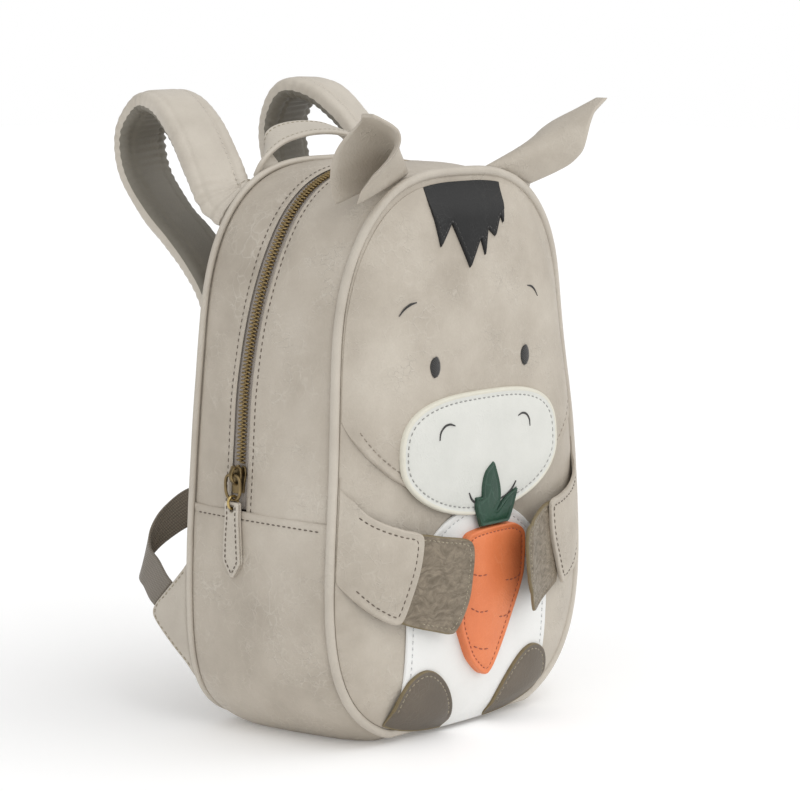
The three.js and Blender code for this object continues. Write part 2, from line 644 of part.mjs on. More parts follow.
// Padded straps: from the back seam up and over, then down behind the back
const STRAP_ROWS = [
  // back, up, across, slant and puff, as shares of the strap's sizes
  [0, 0, 1, 1, 0.5],
  [0.1, 0.04, 0.95, 0.9, 0.6],
  [0.22, 0.13, 0.8, 0.7, 0.75],
  [0.42, 0.26, 0.5, 0.4, 0.9],
  [0.64, 0.34, 0.2, 0.1, 1],
  [0.84, 0.345, 0, 0, 1],
  [0.99, 0.24, 0, 0, 1],
  [0.97, 0.1, 0, 0, 1],
  [0.78, -0.05, 0, 0, 1],
  [0.58, -0.15, 0, 0, 1],
  [0.42, -0.24, 0, 0, 1],
  [0.3, -0.33, 0, 0, 1],
  [0.2, -0.46, 0, 0, 1],
  [0.15, -0.62, 0, 0, 1],
  [0.13, -0.8, 0, 0, 0.95],
  [0.13, -0.95, 0, 0, 0.6],
];

function makeStrap(name, side) {
  const loop = STRAP_LOOP[name];
  const place = (back, up, across) => vec(
    side * lerp(STRAP.x, STRAP_ROOT.x, across),
    loop.root_y + back * loop.back,
    STRAP_ROOT.z + up * (up > 0 ? loop.rise : 1) * STRAP.drop,
  );
  const path = new THREE.CatmullRomCurve3(STRAP_ROWS.map((row) => place(...row)), false, 'centripetal');
  const steps = 26;
  const corners = 8;
  const rowAt = (share, column) => {
    const where = share * (STRAP_ROWS.length - 1);
    const i = Math.min(Math.floor(where), STRAP_ROWS.length - 2);
    return lerp(STRAP_ROWS[i][column], STRAP_ROWS[i + 1][column], where - i);
  };
  const rings = Array.from({ length: steps + 1 }, (_, k) => {
    const share = k / steps;
    const centre = path.getPoint(share);
    const tangent = k ? path.getTangent(share) : vec(0, 1, 0);
    const slant = rowAt(share, 3) * STRAP_ROOT.slant;
    const wide = vec(Math.cos(slant), 0, -side * Math.sin(slant));
    wide.addScaledVector(tangent, -wide.dot(tangent)).normalize();
    const deep = tangent.clone().cross(wide).normalize();
    const width = lerp(STRAP.width, STRAP_ROOT.width, rowAt(share, 3));
    const thick = STRAP.thick * rowAt(share, 4);
    return Array.from({ length: corners }, (_, j) => {
      const turn = ((j + 0.5) / corners) * 2 * Math.PI;
      const flat = (value, power) => Math.sign(value) * Math.abs(value) ** power;
      return centre.clone()
        .addScaledVector(wide, (width / 2) * flat(Math.cos(turn), 0.5))
        .addScaledVector(deep, (thick / 2) * flat(Math.sin(turn), 0.6));
    });
  });
  addPiece(`strap_${name}`, bar(rings), 'taupe');
  return place(...STRAP_ROWS[STRAP_ROWS.length - 1]);
}

// Wing tabs in the back seams, where the lower webbing is sewn on
const WING_ROWS = [
  // height share, where the outer edge lies as a share of the reach
  [0, 0.04], [0.14, 0.2], [0.3, 0.55], [0.44, 0.86], [0.52, 1], [0.6, 0.9], [0.8, 0.45], [1, 0.04],
];

function makeWing(name, side) {
  const edge = (z) => {
    const low = Math.PI - Math.acos(limit((WIDEST_AT - z) / WIDEST_AT) ** (LOW_BACK_SQUARENESS / 2));
    return outlinePoint(low, 1).x;
  };
  const columns = 4;
  const outerX = edge(WING.tip_z);
  const middle = WING_ROWS.map(([up, out]) => {
    const z = lerp(WING.bottom, WING.top, up);
    return Array.from({ length: columns }, (_, j) => {
      const share = (j / (columns - 1)) * out;
      const x = lerp(edge(z) - WING.thick / 2, outerX, share);
      const root = DEPTH / 2 + BACK_PIPING_RADIUS + 2 * GAP;
      return vec(side * x, root + share * WING.reach, z);
    });
  });
  addPiece(`wing_${name}`, sheet(middle, WING.thick), 'taupe');
}

function makeWebbing(name, side, strapEnd) {
  const top = strapEnd.clone().add(vec(0, 0, -GAP - ADJUSTER.height / 2));
  const plate = new THREE.BoxGeometry(ADJUSTER.width, ADJUSTER.thick, ADJUSTER.height);
  addPiece(`adjuster_${name}`, plate.translate(top.x, top.y, top.z), 'webbing');
  const start = top.clone().add(vec(0, 0, -ADJUSTER.height / 2 - 2 * GAP));
  const rows = [
    // out and back from the strap's end, height, width direction
    [0, 0, 0, vec(1, 0, 0)],
    [0.3, 0.5, -2.5, vec(1, 0, -0.1)],
    [2.5, 5, -6, vec(0.9, 0.1, -0.4)],
    [9, 16, -10, vec(0.5, 0, -0.87)],
    [18, 28.6, -15, vec(0.15, 0, -1)],
    [27, 35.4, -22.3, vec(0, 0, -1)],
    [35, 38.4, -29.6, vec(0, 0.1, -1)],
    [42, 38.9, -38.3, vec(0, 0.25, -0.97)],
    [46, 36.8, -45.4, vec(0, 0.42, -0.9)],
    [50, 26.2, -50.4, vec(0, 0.58, -0.8)],
    [54, 15.8, -56.2, vec(0, 0.66, -0.75)],
    [56, 9, -59, vec(0, 0.69, -0.72)],
  ];
  const route = rows.map(([out, back, up]) => start.clone().add(vec(side * out, back, up)));
  addPiece(`webbing_${name}`, ribbon(route, rows.map((row) => row[3]), WEBBING.width, WEBBING.thick, 18), 'webbing');
}

// Zip slider with its arch, the ring that hangs in it, a link and the leather tab
function wireLoop(points, radius, sides = 6) {
  const curve = new THREE.CatmullRomCurve3(points, true, 'centripetal');
  const count = 14;
  const section = Array.from({ length: sides }, (_, k) => {
    const turn = (k / sides) * 2 * Math.PI;
    return new THREE.Vector2(radius * Math.cos(turn), radius * Math.sin(turn));
  });
  const middle = curve.getPoints(200).reduce((sum, p) => sum.add(p), vec(0, 0, 0)).divideScalar(201);
  const plane = points[0].clone().sub(middle).cross(points[1].clone().sub(middle)).normalize();
  const rings = Array.from({ length: count }, (_, i) => {
    const at = curve.getPointAt(i / count);
    const out = curve.getTangentAt(i / count).cross(plane).normalize();
    return section.map((p) => at.clone().addScaledVector(out, p.x).addScaledVector(plane, p.y));
  });
  return bar(rings, true);
}

function makeZipPull() {
  const angle = -angleAt(SLIDER.z);
  const foot = skin(angle, zipY(SLIDER.z), TAPE_OUT + SLIDER.seat);
  const y = foot.y;
  const face = foot.x - SLIDER.thick;
  const archRadius = 2 * WIRE_RADIUS + ARCH_CLEAR;
  const axis = vec(face - WIRE_RADIUS - ARCH_CLEAR, y, SLIDER.z + 3);

  const block = new THREE.BoxGeometry(SLIDER.thick, SLIDER.width, SLIDER.length);
  block.translate(foot.x - SLIDER.thick / 2, y, SLIDER.z);
  const archPath = new THREE.CatmullRomCurve3([-1, -0.9, -0.6, 0, 0.6, 0.9, 1].map((share) => vec(
    share * share >= 1 ? face + 1 : axis.x - archRadius * Math.sqrt(1 - share * share * 0.98),
    y,
    axis.z + share * archRadius,
  )));
  const wire = new THREE.Shape();
  wire.absarc(0, 0, WIRE_RADIUS, 0, 2 * Math.PI, false);
  const arch = new THREE.ExtrudeGeometry(wire, {
    steps: 12, curveSegments: 3, bevelEnabled: false, extrudePath: archPath,
  });
  addPiece('zip_slider', toGeometry(toSolid(block).add(toSolid(arch))), 'brass');

  const tabTop = axis.z - RING.height - 2 * LINK_RADIUS + PULL_TAB.edge * 2 + WIRE_RADIUS * 2;
  const tabLow = tabTop - PULL_TAB.length;
  const lowSkin = Math.min(
    skin(-angleAt(WIDEST_AT), y, 0).x,
    skin(-angleAt((WIDEST_AT + SEAM_HEIGHT) / 2), y, 0).x,
  );
  const lowX = lowSkin - PULL_TAB.stand_off - PULL_TAB.thick / 2;
  const lean = Math.atan2(Math.max(axis.x - lowX, 0), axis.z - tabLow);
  const hang = new THREE.Group();
  hang.position.copy(axis);
  hang.rotation.y = lean;
  bag.add(hang);

  const half = RING.width / 2;
  const ringPoints = [
    [half - 2.5, 0], [half, -3], [half, -RING.height + 4.5], [half - 4, -RING.height],
    [-half + 4, -RING.height], [-half, -RING.height + 4.5], [-half, -3], [-half + 2.5, 0],
  ].map(([across, up]) => vec(0, across, up));
  hang.add(addPiece('pull_ring', wireLoop(ringPoints, WIRE_RADIUS), 'brass'));

  const linkZ = -RING.height - LINK_RADIUS + 2 * WIRE_RADIUS + GAP;
  const linkPoints = Array.from({ length: 8 }, (_, k) => {
    const turn = (k / 8) * 2 * Math.PI;
    return vec(LINK_RADIUS * Math.sin(turn), 0, linkZ + LINK_RADIUS * Math.cos(turn));
  });
  hang.add(addPiece('pull_link', wireLoop(linkPoints, WIRE_RADIUS), 'brass'));

  const holeZ = linkZ - LINK_RADIUS;
  const top = holeZ + PULL_TAB.hole + PULL_TAB.edge;
  const wide = PULL_TAB.width / 2;
  const shape = new THREE.Shape();
  shape.moveTo(-wide + 1, top);
  shape.lineTo(wide - 1, top);
  shape.lineTo(wide - 1.5, top - PULL_TAB.length * 0.2);
  shape.lineTo(wide, top - PULL_TAB.length + PULL_TAB.tip);
  shape.lineTo(1.5, top - PULL_TAB.length);
  shape.lineTo(-1.5, top - PULL_TAB.length);
  shape.lineTo(-wide, top - PULL_TAB.length + PULL_TAB.tip);
  shape.lineTo(-wide + 1.5, top - PULL_TAB.length * 0.2);
  const hole = Array.from({ length: 8 }, (_, k) => {
    const turn = (k / 8) * 2 * Math.PI;
    return new THREE.Vector2(PULL_TAB.hole * Math.cos(turn), holeZ + PULL_TAB.hole * Math.sin(turn));
  });
  shape.holes.push(new THREE.Path(hole));
  const tab = new THREE.ExtrudeGeometry(shape, {
    depth: PULL_TAB.thick, bevelEnabled: false,
  });
  tab.translate(0, 0, -PULL_TAB.thick / 2);
  tab.applyMatrix4(new THREE.Matrix4().makeBasis(vec(0, 1, 0), vec(0, 0, 1), vec(1, 0, 0)));
  hang.add(addPiece('pull_tab', toGeometry(toSolid(tab)), 'taupe'));
}

makeFront();
makeBand();
makeBack();
addPiece('front_piping', pipe(-DEPTH / 2, PIPING_RADIUS), 'taupe');
addPiece('back_piping', pipe(DEPTH / 2, BACK_PIPING_RADIUS), 'taupe');
makeHandle();
for (const [name, side] of [['left', -1], ['right', 1]]) {
  makeEar(name, side);
  makeWing(name, side);
  makeWebbing(name, side, makeStrap(name, side));
}
makeZipPull();

export default bag;
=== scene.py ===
"""A child's donkey backpack in imitation leather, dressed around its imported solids.

Shapes are worked out in millimetres, with the front towards -Y and the floor at zero.
"""
import math

import bpy
import numpy as np
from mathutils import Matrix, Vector, noise
from mathutils.geometry import delaunay_2d_cdt


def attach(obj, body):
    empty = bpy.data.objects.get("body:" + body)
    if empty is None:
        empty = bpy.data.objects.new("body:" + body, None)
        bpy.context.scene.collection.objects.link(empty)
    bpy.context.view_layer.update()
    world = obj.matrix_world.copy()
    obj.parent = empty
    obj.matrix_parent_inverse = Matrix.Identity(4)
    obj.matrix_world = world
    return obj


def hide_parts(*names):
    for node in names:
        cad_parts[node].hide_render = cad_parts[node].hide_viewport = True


MM = 0.001

# The bag's outline and dome, as in the solids
HEIGHT = 325
BACK_RISE = 3
FRONT_HALF_WIDTH = 106
BACK_HALF_WIDTH = 112.5
DEPTH = 108
WIDEST_AT = 107
SEAM_LIFT = 6.5
SQUARENESS = 3
LOW_BACK_SQUARENESS = 4.4
WAIST_DIP = 3.2
WAIST_AT = 162
CHEEK_DIP = 5
CHEEK_AT = 222
WAIST_SPREAD = 48
RIM_SET_BACK = 5
RIM_SET_AT = 240
RIM_SPREAD = 55
SIDE_SWELL = 3
BOTTOM_SWELL = 8
DOME = 16.3
DOME_FULLNESS = 5.3
BACK_PAD = 6
BACK_FLAT_SHARE = 0.5
PANEL_CENTRE = 147

# Leather and seams
WALL = 2
GAP = 0.4
PIPING_RADIUS = 2.7
BACK_PIPING_RADIUS = 2
SEAM_HEIGHT = 134
SEAM_LAP = 8
UPPER_OUT = -1.3
BAND_FRONT = -DEPTH / 2 + PIPING_RADIUS + 0.5
BAND_BACK = DEPTH / 2 - 1.2
BAND_THICK = WALL * 0.8
ZIP_STITCH_IN = 3.6
RIM_SHARE = 0.975

# Zip
ZIP_OPENING = 12.4
ZIP_Y_TOP = 6
ZIP_Y_SIDE = 16
ZIP_TURN_LOW = 192
ZIP_TURN_HIGH = 292
TAPE_OUT = -3.5
SLIDER_LEVEL = -4.8
TAPE_THICK = 0.9
TOOTH = {"pitch": 2.15, "reach": 3.3, "long": 1.2, "thick": 2.2, "lap": 0.8}
SLIDER = {"z": 152, "width": 9, "length": 16, "thick": 5.8, "seat": 1.05}
WIRE_RADIUS = 0.9
ARCH_CLEAR = 0.8
RING = {"width": 13, "height": 14.4}
LINK_RADIUS = 3.6
PULL_TAB = {"width": 14, "length": 44, "thick": 3.4, "tip": 9}
TAB_STITCH_IN = 2.1
TAB_HOLE = 2

# Heights above the front panel
FIRST = 0.4
FACE_TOP = FIRST + WALL
SECOND = FACE_TOP + 0.2

# Overlays on the front: middle and size
CHIN = {"x": 0, "z": 138, "width": 100, "height": 72}
MUZZLE = {"half": 66.5, "z": 165, "up": 36, "down": 36, "top_power": 3, "bottom_power": 1.95}
BELLY = {"half": 60, "z": 77, "up": 58, "thick": 1.6}
SLEEVE = {"x": 81, "z": 119, "width": 47, "height": 87, "seam_lift": 0.6, "wrist": 58}
HAND = {"x": 46, "z": 95, "width": 52, "height": 60, "tip": 20}
WRIST_LIFT = 8.5
ARMS = {
    "left": {"side": -1, "inward": 0, "up": 0, "curl": 0},
    "right": {"side": 1, "inward": 5, "up": 4, "curl": 10},
}
CARROT = {"x": 5.5, "z": 77.7, "width": 56, "height": 87.5}
LEAVES = {"x": 8, "z": 141.25, "width": 34, "height": 38, "thick": 2.4, "lift": 5}
FOOT = {"x": 41, "z": 23, "width": 50, "height": 42}
MANE = {"x": 0, "z": 325, "width": 64, "height": 54}
EYE = {"x": 38.2, "z": 217.5, "width": 8, "height": 10.5, "rows": 17}
EYE_GROUND = {"low": FACE_TOP + 0.3, "thick": 0.5}

# The carrot's two sheets: height above the panel and thickness
CARROT_UNDER = (2.4, 2.4)
CARROT_BODY = (4.9, 2.3)
HAND_BELOW_SLEEVE = 2.4

# Thread radius of plain, fine and satin stitches
THREAD_RADIUS = 0.42
FINE_THREAD = 0.36
EYE_THREAD = 0.46

# Ears, handle and straps
EAR_ROOT = {"x": 33, "y": -45, "offset": 1}
EAR_THICK = 2.2
EARS = {
    "left": {"side": -1, "tip": (92, -70, 360), "back": 46, "front": 50, "arch": 5},
    "right": {"side": 1, "tip": (112, -67, 364), "back": 44, "front": 36, "arch": -2},
}
HANDLE = {"x": 44, "rise": 23, "width": 22, "thick": 3, "apex_y": 66, "root_y": 58.6}
STRAP = {"x": 54, "width": 37, "thick": 14, "drop": 162}
STRAP_LOOPS = {
    "left": {"side": -1, "root_y": 57.2, "back": 102, "rise": 1},
    "right": {"side": 1, "root_y": 59.1, "back": 87, "rise": 1.1},
}
STRAP_ROOT = {"x": 71, "z": 304, "width": 35, "slant": 0.75}
ADJUSTER = {"width": 32, "height": 14, "thick": 5}
WEBBING = {"width": 23, "thick": 1.7, "ribs": 11}
WING = {"top": 97, "bottom": 29, "reach": 31, "tip_z": 64, "thick": 4}

# Outlines as rows of across, up and corner, in shares of the piece's size
CHIN_ROWS = [
    (0, 0), (0.4, 0.07), (0.57, 0.17), (0.69, 0.26), (0.79, 0.37), (0.86, 0.47),
    (0.93, 0.62), (0.96, 0.74), (0.99, 0.87), (1, 1), (1.04, 1.12),
]
CARROT_ROWS = [
    (-0.4, 0.44), (-0.22, 0.49), (0.22, 0.5), (0.38, 0.48), (0.48, 0.43), (0.5, 0.36), (0.49, 0.21),
    (0.45, 0.09), (0.28, -0.14), (0.07, -0.41), (-0.02, -0.49), (-0.08, -0.5), (-0.19, -0.46),
    (-0.34, -0.36), (-0.44, -0.23), (-0.5, -0.12), (-0.5, 0.05), (-0.46, 0.25),
]
CARROT_CREASES = [
    [(-17, 98), (-9, 94.5), (-1, 94)], [(14, 88.5), (22, 88), (29, 89.5)],
    [(-15, 76.5), (-8, 73), (0, 72.5)], [(9, 67.5), (16, 67), (21, 69)],
    [(-12, 53.5), (-5, 50.5), (1, 50)],
]
LEAF_ROWS = [
    (-0.39, -0.5, 1), (-0.49, -0.24), (-0.51, -0.04, 1), (-0.35, -0.04, 1), (-0.35, 0.12),
    (-0.27, 0.33), (-0.06, 0.48, 1), (0.08, 0.13), (0.1, -0.12), (-0.01, -0.29, 1),
    (0.29, -0.09), (0.55, 0.01, 1), (0.42, -0.3), (0.31, -0.5, 1),
]
SLEEVE_ROWS = [
    (0.57, 0.51, 1), (0.43, 0.49), (0.38, 0.4), (0.28, 0.32), (0.14, 0.23), (-0.04, 0.17),
    (-0.27, 0.12), (-0.46, 0.09), (-0.53, 0.05), (-0.52, -0.06), (-0.47, -0.18), (-0.37, -0.33),
    (-0.26, -0.47), (-0.18, -0.5), (-0.04, -0.47), (0.15, -0.4), (0.32, -0.31), (0.44, -0.22),
    (0.51, -0.14), (0.66, -0.13, 1),
]
HAND_ROWS = [
    (0.46, 0.5, 1), (0.17, 0.5), (-0.12, 0.45), (-0.41, 0.4), (-0.5, 0.34), (-0.52, 0.22),
    (-0.5, 0.04), (-0.46, -0.17), (-0.38, -0.34), (-0.3, -0.45), (-0.21, -0.5), (0.01, -0.45),
    (0.24, -0.39), (0.42, -0.33, 1), (0.46, -0.23, 1),
]
FOOT_ROWS = [
    (-0.48, -0.36), (-0.42, -0.07), (-0.26, 0.24), (-0.06, 0.45), (0.14, 0.5), (0.34, 0.38),
    (0.46, 0.12), (0.5, -0.21), (0.48, -0.5, 1), (-0.44, -0.5, 1),
]
MANE_ROWS = [
    (-0.52, 0.15, 1), (-0.5, -0.11), (-0.48, -0.43), (-0.44, -0.76, 1), (-0.27, -0.52, 1),
    (-0.09, -1, 1), (0.08, -0.7, 1), (0.12, -0.89, 1), (0.19, -0.61, 1), (0.28, -0.7, 1),
    (0.38, -0.48, 1), (0.41, -0.57, 1), (0.47, -0.33), (0.5, -0.09), (0.52, 0.15, 1),
]
EAR_ROWS = [
    # crease share, back layer, front layer, closing angle, crease roundness
    (0, 1.16, 1, 1.5, 2.5), (0.14, 1.04, 1.0, 1.4, 3.6), (0.28, 0.88, 0.95, 1.26, 5.6),
    (0.42, 0.7, 0.82, 1.06, 8.5), (0.56, 0.51, 0.62, 0.84, 11.5), (0.7, 0.33, 0.42, 0.6, 14),
    (0.84, 0.18, 0.22, 0.45, 14), (1, 0.07, 0.1, 0.35, 14),
]
STRAP_ROWS = [
    # back, up, across, slant and puff
    (0, 0, 1, 1, 0.5), (0.1, 0.04, 0.95, 0.9, 0.6), (0.22, 0.13, 0.8, 0.7, 0.75),
    (0.42, 0.26, 0.5, 0.4, 0.9), (0.64, 0.34, 0.2, 0.1, 1), (0.84, 0.345, 0, 0, 1),
    (0.99, 0.24, 0, 0, 1), (0.97, 0.1, 0, 0, 1), (0.78, -0.05, 0, 0, 1), (0.58, -0.15, 0, 0, 1),
    (0.42, -0.24, 0, 0, 1), (0.3, -0.33, 0, 0, 1), (0.2, -0.46, 0, 0, 1), (0.15, -0.62, 0, 0, 1),
    (0.13, -0.8, 0, 0, 0.95), (0.13, -0.95, 0, 0, 0.6),
]
HANDLE_ROWS = [
    # across, rise and the width's direction
    (-1, 0, (0.8, 0, 0.25)), (-0.97, 0.35, (0.7, 0.5, 0.2)), (-0.72, 0.78, (0.3, 0.9, 0.25)),
    (-0.3, 1, (0, 1, 0.27)), (0.3, 1, (0, 1, 0.27)), (0.72, 0.78, (-0.3, 0.9, 0.25)),
    (0.97, 0.35, (-0.7, 0.5, 0.2)), (1, 0, (-0.8, 0, 0.25)),
]
WEBBING_ROWS = [
    # out and back from the strap's end, height, and the width's direction
    (0, 0, 0, (1, 0, 0)), (0.3, 0.5, -2.5, (1, 0, -0.1)), (2.5, 5, -6, (0.9, 0.1, -0.4)),
    (9, 16, -10, (0.5, 0, -0.87)), (18, 28.6, -15, (0.15, 0, -1)), (27, 35.4, -22.3, (0, 0, -1)),
    (35, 38.4, -29.6, (0, 0.1, -1)), (42, 38.9, -38.3, (0, 0.25, -0.97)),
    (46, 36.8, -45.4, (0, 0.42, -0.9)), (50, 26.2, -50.4, (0, 0.58, -0.8)),
    (54, 15.8, -56.2, (0, 0.66, -0.75)), (56, 9, -59, (0, 0.69, -0.72)),
]
WING_ROWS = [
    # height share, where the outer edge lies as a share of the reach
    (0, 0.04), (0.14, 0.2), (0.3, 0.55), (0.44, 0.86), (0.52, 1), (0.6, 0.9), (0.8, 0.45), (1, 0.04),
]

# The set: metres, degrees and powers
CAMERA = {"at": (-1.1419, -1.0957, 0.4233), "aim": (0.0081, 0.0, 0.1893), "lens": 121.8, "sensor": 36}
LIGHTS = (
    # name, place, spread in degrees and power
    ("key", (0.3, -0.62, 0.74), 75, 1.35),
    ("fill", (-0.8, -0.4, 0.62), 80, 0.6),
)
FLOOR_HALF = 6.0
WORLD_LEVEL = 0.62
FARTHEST = 50

BACKWARDS = np.array([0, 1.0, 0])
UPWARDS = np.array([0, 0, 1.0])
SIDEWAYS = np.array([1.0, 0, 0])

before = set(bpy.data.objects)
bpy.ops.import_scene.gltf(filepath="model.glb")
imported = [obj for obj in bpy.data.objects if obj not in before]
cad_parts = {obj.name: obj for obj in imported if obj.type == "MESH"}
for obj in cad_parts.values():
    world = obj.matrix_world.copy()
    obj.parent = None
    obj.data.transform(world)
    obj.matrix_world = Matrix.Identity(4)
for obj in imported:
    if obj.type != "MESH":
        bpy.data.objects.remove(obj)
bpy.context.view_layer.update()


# Materials

class Shader:
    """A material's node tree, with the short calls that build it."""

    def __init__(self, name):
        self.material = bpy.data.materials.new(name)
        self.material.use_nodes = True
        self.tree = self.material.node_tree
        self.surface = self.tree.nodes["Principled BSDF"]

    def put(self, socket, value):
        if isinstance(value, bpy.types.NodeSocket):
            self.tree.links.new(value, socket)
        else:
            socket.default_value = value

    def node(self, kind, output=0, settings=None, **inputs):
        made = self.tree.nodes.new(kind)
        for key, value in (settings or {}).items():
            setattr(made, key, value)
        for key, value in inputs.items():
            self.put(made.inputs[key.replace("_", " ")], value)
        return made.outputs[output]

    def place(self):
        return self.node("ShaderNodeTexCoord", "Object")

    def noise(self, scale, detail=2.0, rough=0.5, vector=None):
        return self.node(
            "ShaderNodeTexNoise", "Fac", Scale=scale, Detail=detail, Roughness=rough,
            Vector=vector or self.place(),
        )

    def cells(self, feature, scale, vector):
        return self.node(
            "ShaderNodeTexVoronoi", "Distance", settings={"feature": feature}, Vector=vector, Scale=scale,
        )

    def math(self, operation, a, b=0.0, c=0.0, clamp=False):
        made = self.tree.nodes.new("ShaderNodeMath")
        made.operation = operation
        made.use_clamp = clamp
        for socket, value in zip(made.inputs, (a, b, c)):
            self.put(socket, value)
        return made.outputs[0]

    def times(self, a, b):
        return self.math("MULTIPLY", a, b)

    def plus(self, a, b, clamp=False):
        return self.math("ADD", a, b, clamp=clamp)

    def ramp(self, factor, stops):
        made = self.tree.nodes.new("ShaderNodeValToRGB")
        self.put(made.inputs[0], factor)
        elements = made.color_ramp.elements
        while len(elements) < len(stops):
            elements.new(0.5)
        for element, (place, colour) in zip(elements, stops):
            element.position = place
            element.color = (*colour, 1) if len(colour) == 3 else colour
        return made.outputs[0]

    def mix(self, factor, a, b, blend="MIX"):
        made = self.tree.nodes.new("ShaderNodeMix")
        made.data_type = "RGBA"
        made.blend_type = blend
        self.put(made.inputs[0], factor)
        self.put(made.inputs[6], a if not isinstance(a, tuple) else (*a, 1))
        self.put(made.inputs[7], b if not isinstance(b, tuple) else (*b, 1))
        return made.outputs[2]

    def range(self, value, low, high, to_low=0.0, to_high=1.0):
        made = self.tree.nodes.new("ShaderNodeMapRange")
        for socket, part in zip(made.inputs, (value, low, high, to_low, to_high)):
            self.put(socket, part)
        return made.outputs[0]

    def warped(self, scale, amount, stretch=(1, 1, 1), turn=(0, 0, 0)):
        colour = self.node("ShaderNodeTexNoise", "Color", Scale=scale, Detail=2.0, Vector=self.place())
        shift = self.node("ShaderNodeVectorMath", settings={"operation": "MULTIPLY_ADD"})
        made = shift.node
        self.put(made.inputs[0], colour)
        made.inputs[1].default_value = (amount,) * 3
        self.put(made.inputs[2], self.place())
        mapping = self.tree.nodes.new("ShaderNodeMapping")
        self.put(mapping.inputs["Vector"], shift)
        mapping.inputs["Scale"].default_value = stretch
        mapping.inputs["Rotation"].default_value = turn
        return mapping.outputs[0]

    def bump(self, height, depth, normal=None):
        made = self.tree.nodes.new("ShaderNodeBump")
        made.inputs["Strength"].default_value = 1.0
        made.inputs["Distance"].default_value = depth * MM
        self.put(made.inputs["Height"], height)
        if normal is not None:
            self.put(made.inputs["Normal"], normal)
        return made.outputs[0]

    def finish(self, colour, rough, normal, **constants):
        self.put(self.surface.inputs["Base Color"], colour)
        self.put(self.surface.inputs["Roughness"], rough)
        if normal is not None:
            self.put(self.surface.inputs["Normal"], normal)
        for key, value in constants.items():
            self.surface.inputs[key.replace("_", " ")].default_value = value
        return self.material


def leather(name, tones, veins=0.28, grain=0.10, crease=0.22, rough=(0.46, 0.6), patch=26, shine_level=0.45):
    """Imitation leather: cloudy tones, patches of fine creases and a pebbled grain."""
    s = Shader(name)
    cloud = s.noise(9, 3, 0.55)
    mottle = s.noise(patch, 6, 0.62)
    tone = s.plus(s.times(cloud, 0.45), s.times(mottle, 0.55))
    colour = s.ramp(tone, [(0.34, tones[0]), (0.5, tones[1]), (0.66, tones[2])])
    cells = s.cells("DISTANCE_TO_EDGE", 125.0, s.warped(60, 0.016, (1, 1, 0.7), (0.3, 0.5, 0.7)))
    fine_cells = s.cells("DISTANCE_TO_EDGE", 260.0, s.warped(150, 0.006, (1, 0.6, 1), (0.9, 0.2, 0.4)))
    line = s.range(cells, 0.0, 0.07, 1.0, 0.0)
    fine_line = s.range(fine_cells, 0.0, 0.09, 1.0, 0.0)
    where = s.range(s.noise(30, 3, 0.6), 0.5, 0.68)
    where_fine = s.range(s.noise(44, 3, 0.6), 0.46, 0.66)
    creases = s.plus(s.times(line, where), s.times(fine_line, where_fine), clamp=True)
    colour = s.mix(s.times(creases, veins), colour, tones[3])
    speck = s.range(s.noise(900, 2, 0.6), 0.35, 0.65)
    colour = s.mix(s.times(speck, 0.12), colour, tones[0])
    pebble = s.cells("SMOOTH_F1", 820.0, s.warped(400, 0.0008))
    wrinkles = s.noise(70, 5, 0.6, s.warped(40, 0.02, (1, 1, 0.5), (0.4, 0.3, 0.2)))
    normal = s.bump(wrinkles, crease * 3)
    normal = s.bump(creases, crease, normal)
    normal = s.bump(pebble, grain, normal)
    shine = s.range(s.plus(mottle, s.times(creases, 0.3)), 0.3, 0.8, rough[0], rough[1])
    return s.finish(colour, shine, normal, Specular_IOR_Level=shine_level)


def wrinkled_leather(name, tones, depth=0.5, rough=(0.4, 0.6)):
    """Leather with a drawn grain: light wavy ridges that run across the piece, between soft folds."""
    s = Shader(name)
    drawn = s.noise(290, 5, 0.62, s.warped(70, 0.02, (0.55, 1, 1.5), (0, 0.5, 0)))
    broad = s.noise(130, 3, 0.5, s.warped(40, 0.03, (0.8, 1, 1.4), (0, 0.4, 0)))
    height = s.plus(s.times(drawn, 0.7), s.times(broad, 0.3))
    colour = s.ramp(height, [(0.36, tones[0]), (0.5, tones[1]), (0.68, tones[2])])
    pebble = s.cells("F1", 1100.0, s.place())
    normal = s.bump(height, depth * 2)
    normal = s.bump(pebble, 0.06, normal)
    return s.finish(colour, s.range(height, 0.4, 0.65, rough[1], rough[0]), normal, Specular_IOR_Level=0.5)


def thread(name, colour, rough=0.75):
    """Twisted sewing thread."""
    s = Shader(name)
    dark = tuple(c * 0.55 for c in colour)
    twist = s.node(
        "ShaderNodeTexWave", "Fac", settings={"bands_direction": "DIAGONAL"},
        Vector=s.place(), Scale=420.0, Distortion=2.0,
    )
    return s.finish(s.mix(twist, dark, colour), rough, s.bump(twist, 0.08), Sheen_Weight=0.3)


def woven(name, tones, along=260.0, across=0.0, depth=0.15, rough=0.85):
    """Woven yarn that follows the piece's own length and width."""
    s = Shader(name)
    length = s.node("ShaderNodeAttribute", "Fac", settings={"attribute_name": "along"})
    width = s.node("ShaderNodeAttribute", "Fac", settings={"attribute_name": "across"})
    yarn = s.math("SINE", s.times(length, along))
    rib = s.math("SINE", s.plus(s.times(width, across), s.times(yarn, 0.6)))
    weave = s.math("MULTIPLY_ADD", s.times(yarn, rib), 0.5, 0.5)
    fuzz = s.noise(1500, 2, 0.7)
    tone = s.plus(s.times(weave, 0.7), s.times(fuzz, 0.3))
    colour = s.ramp(tone, [(0.2, tones[0]), (0.55, tones[1]), (0.85, tones[2])])
    normal = s.bump(s.noise(3000, 2), 0.05, s.bump(weave, depth))
    return s.finish(colour, rough, normal, Sheen_Weight=0.35, Sheen_Roughness=0.5)


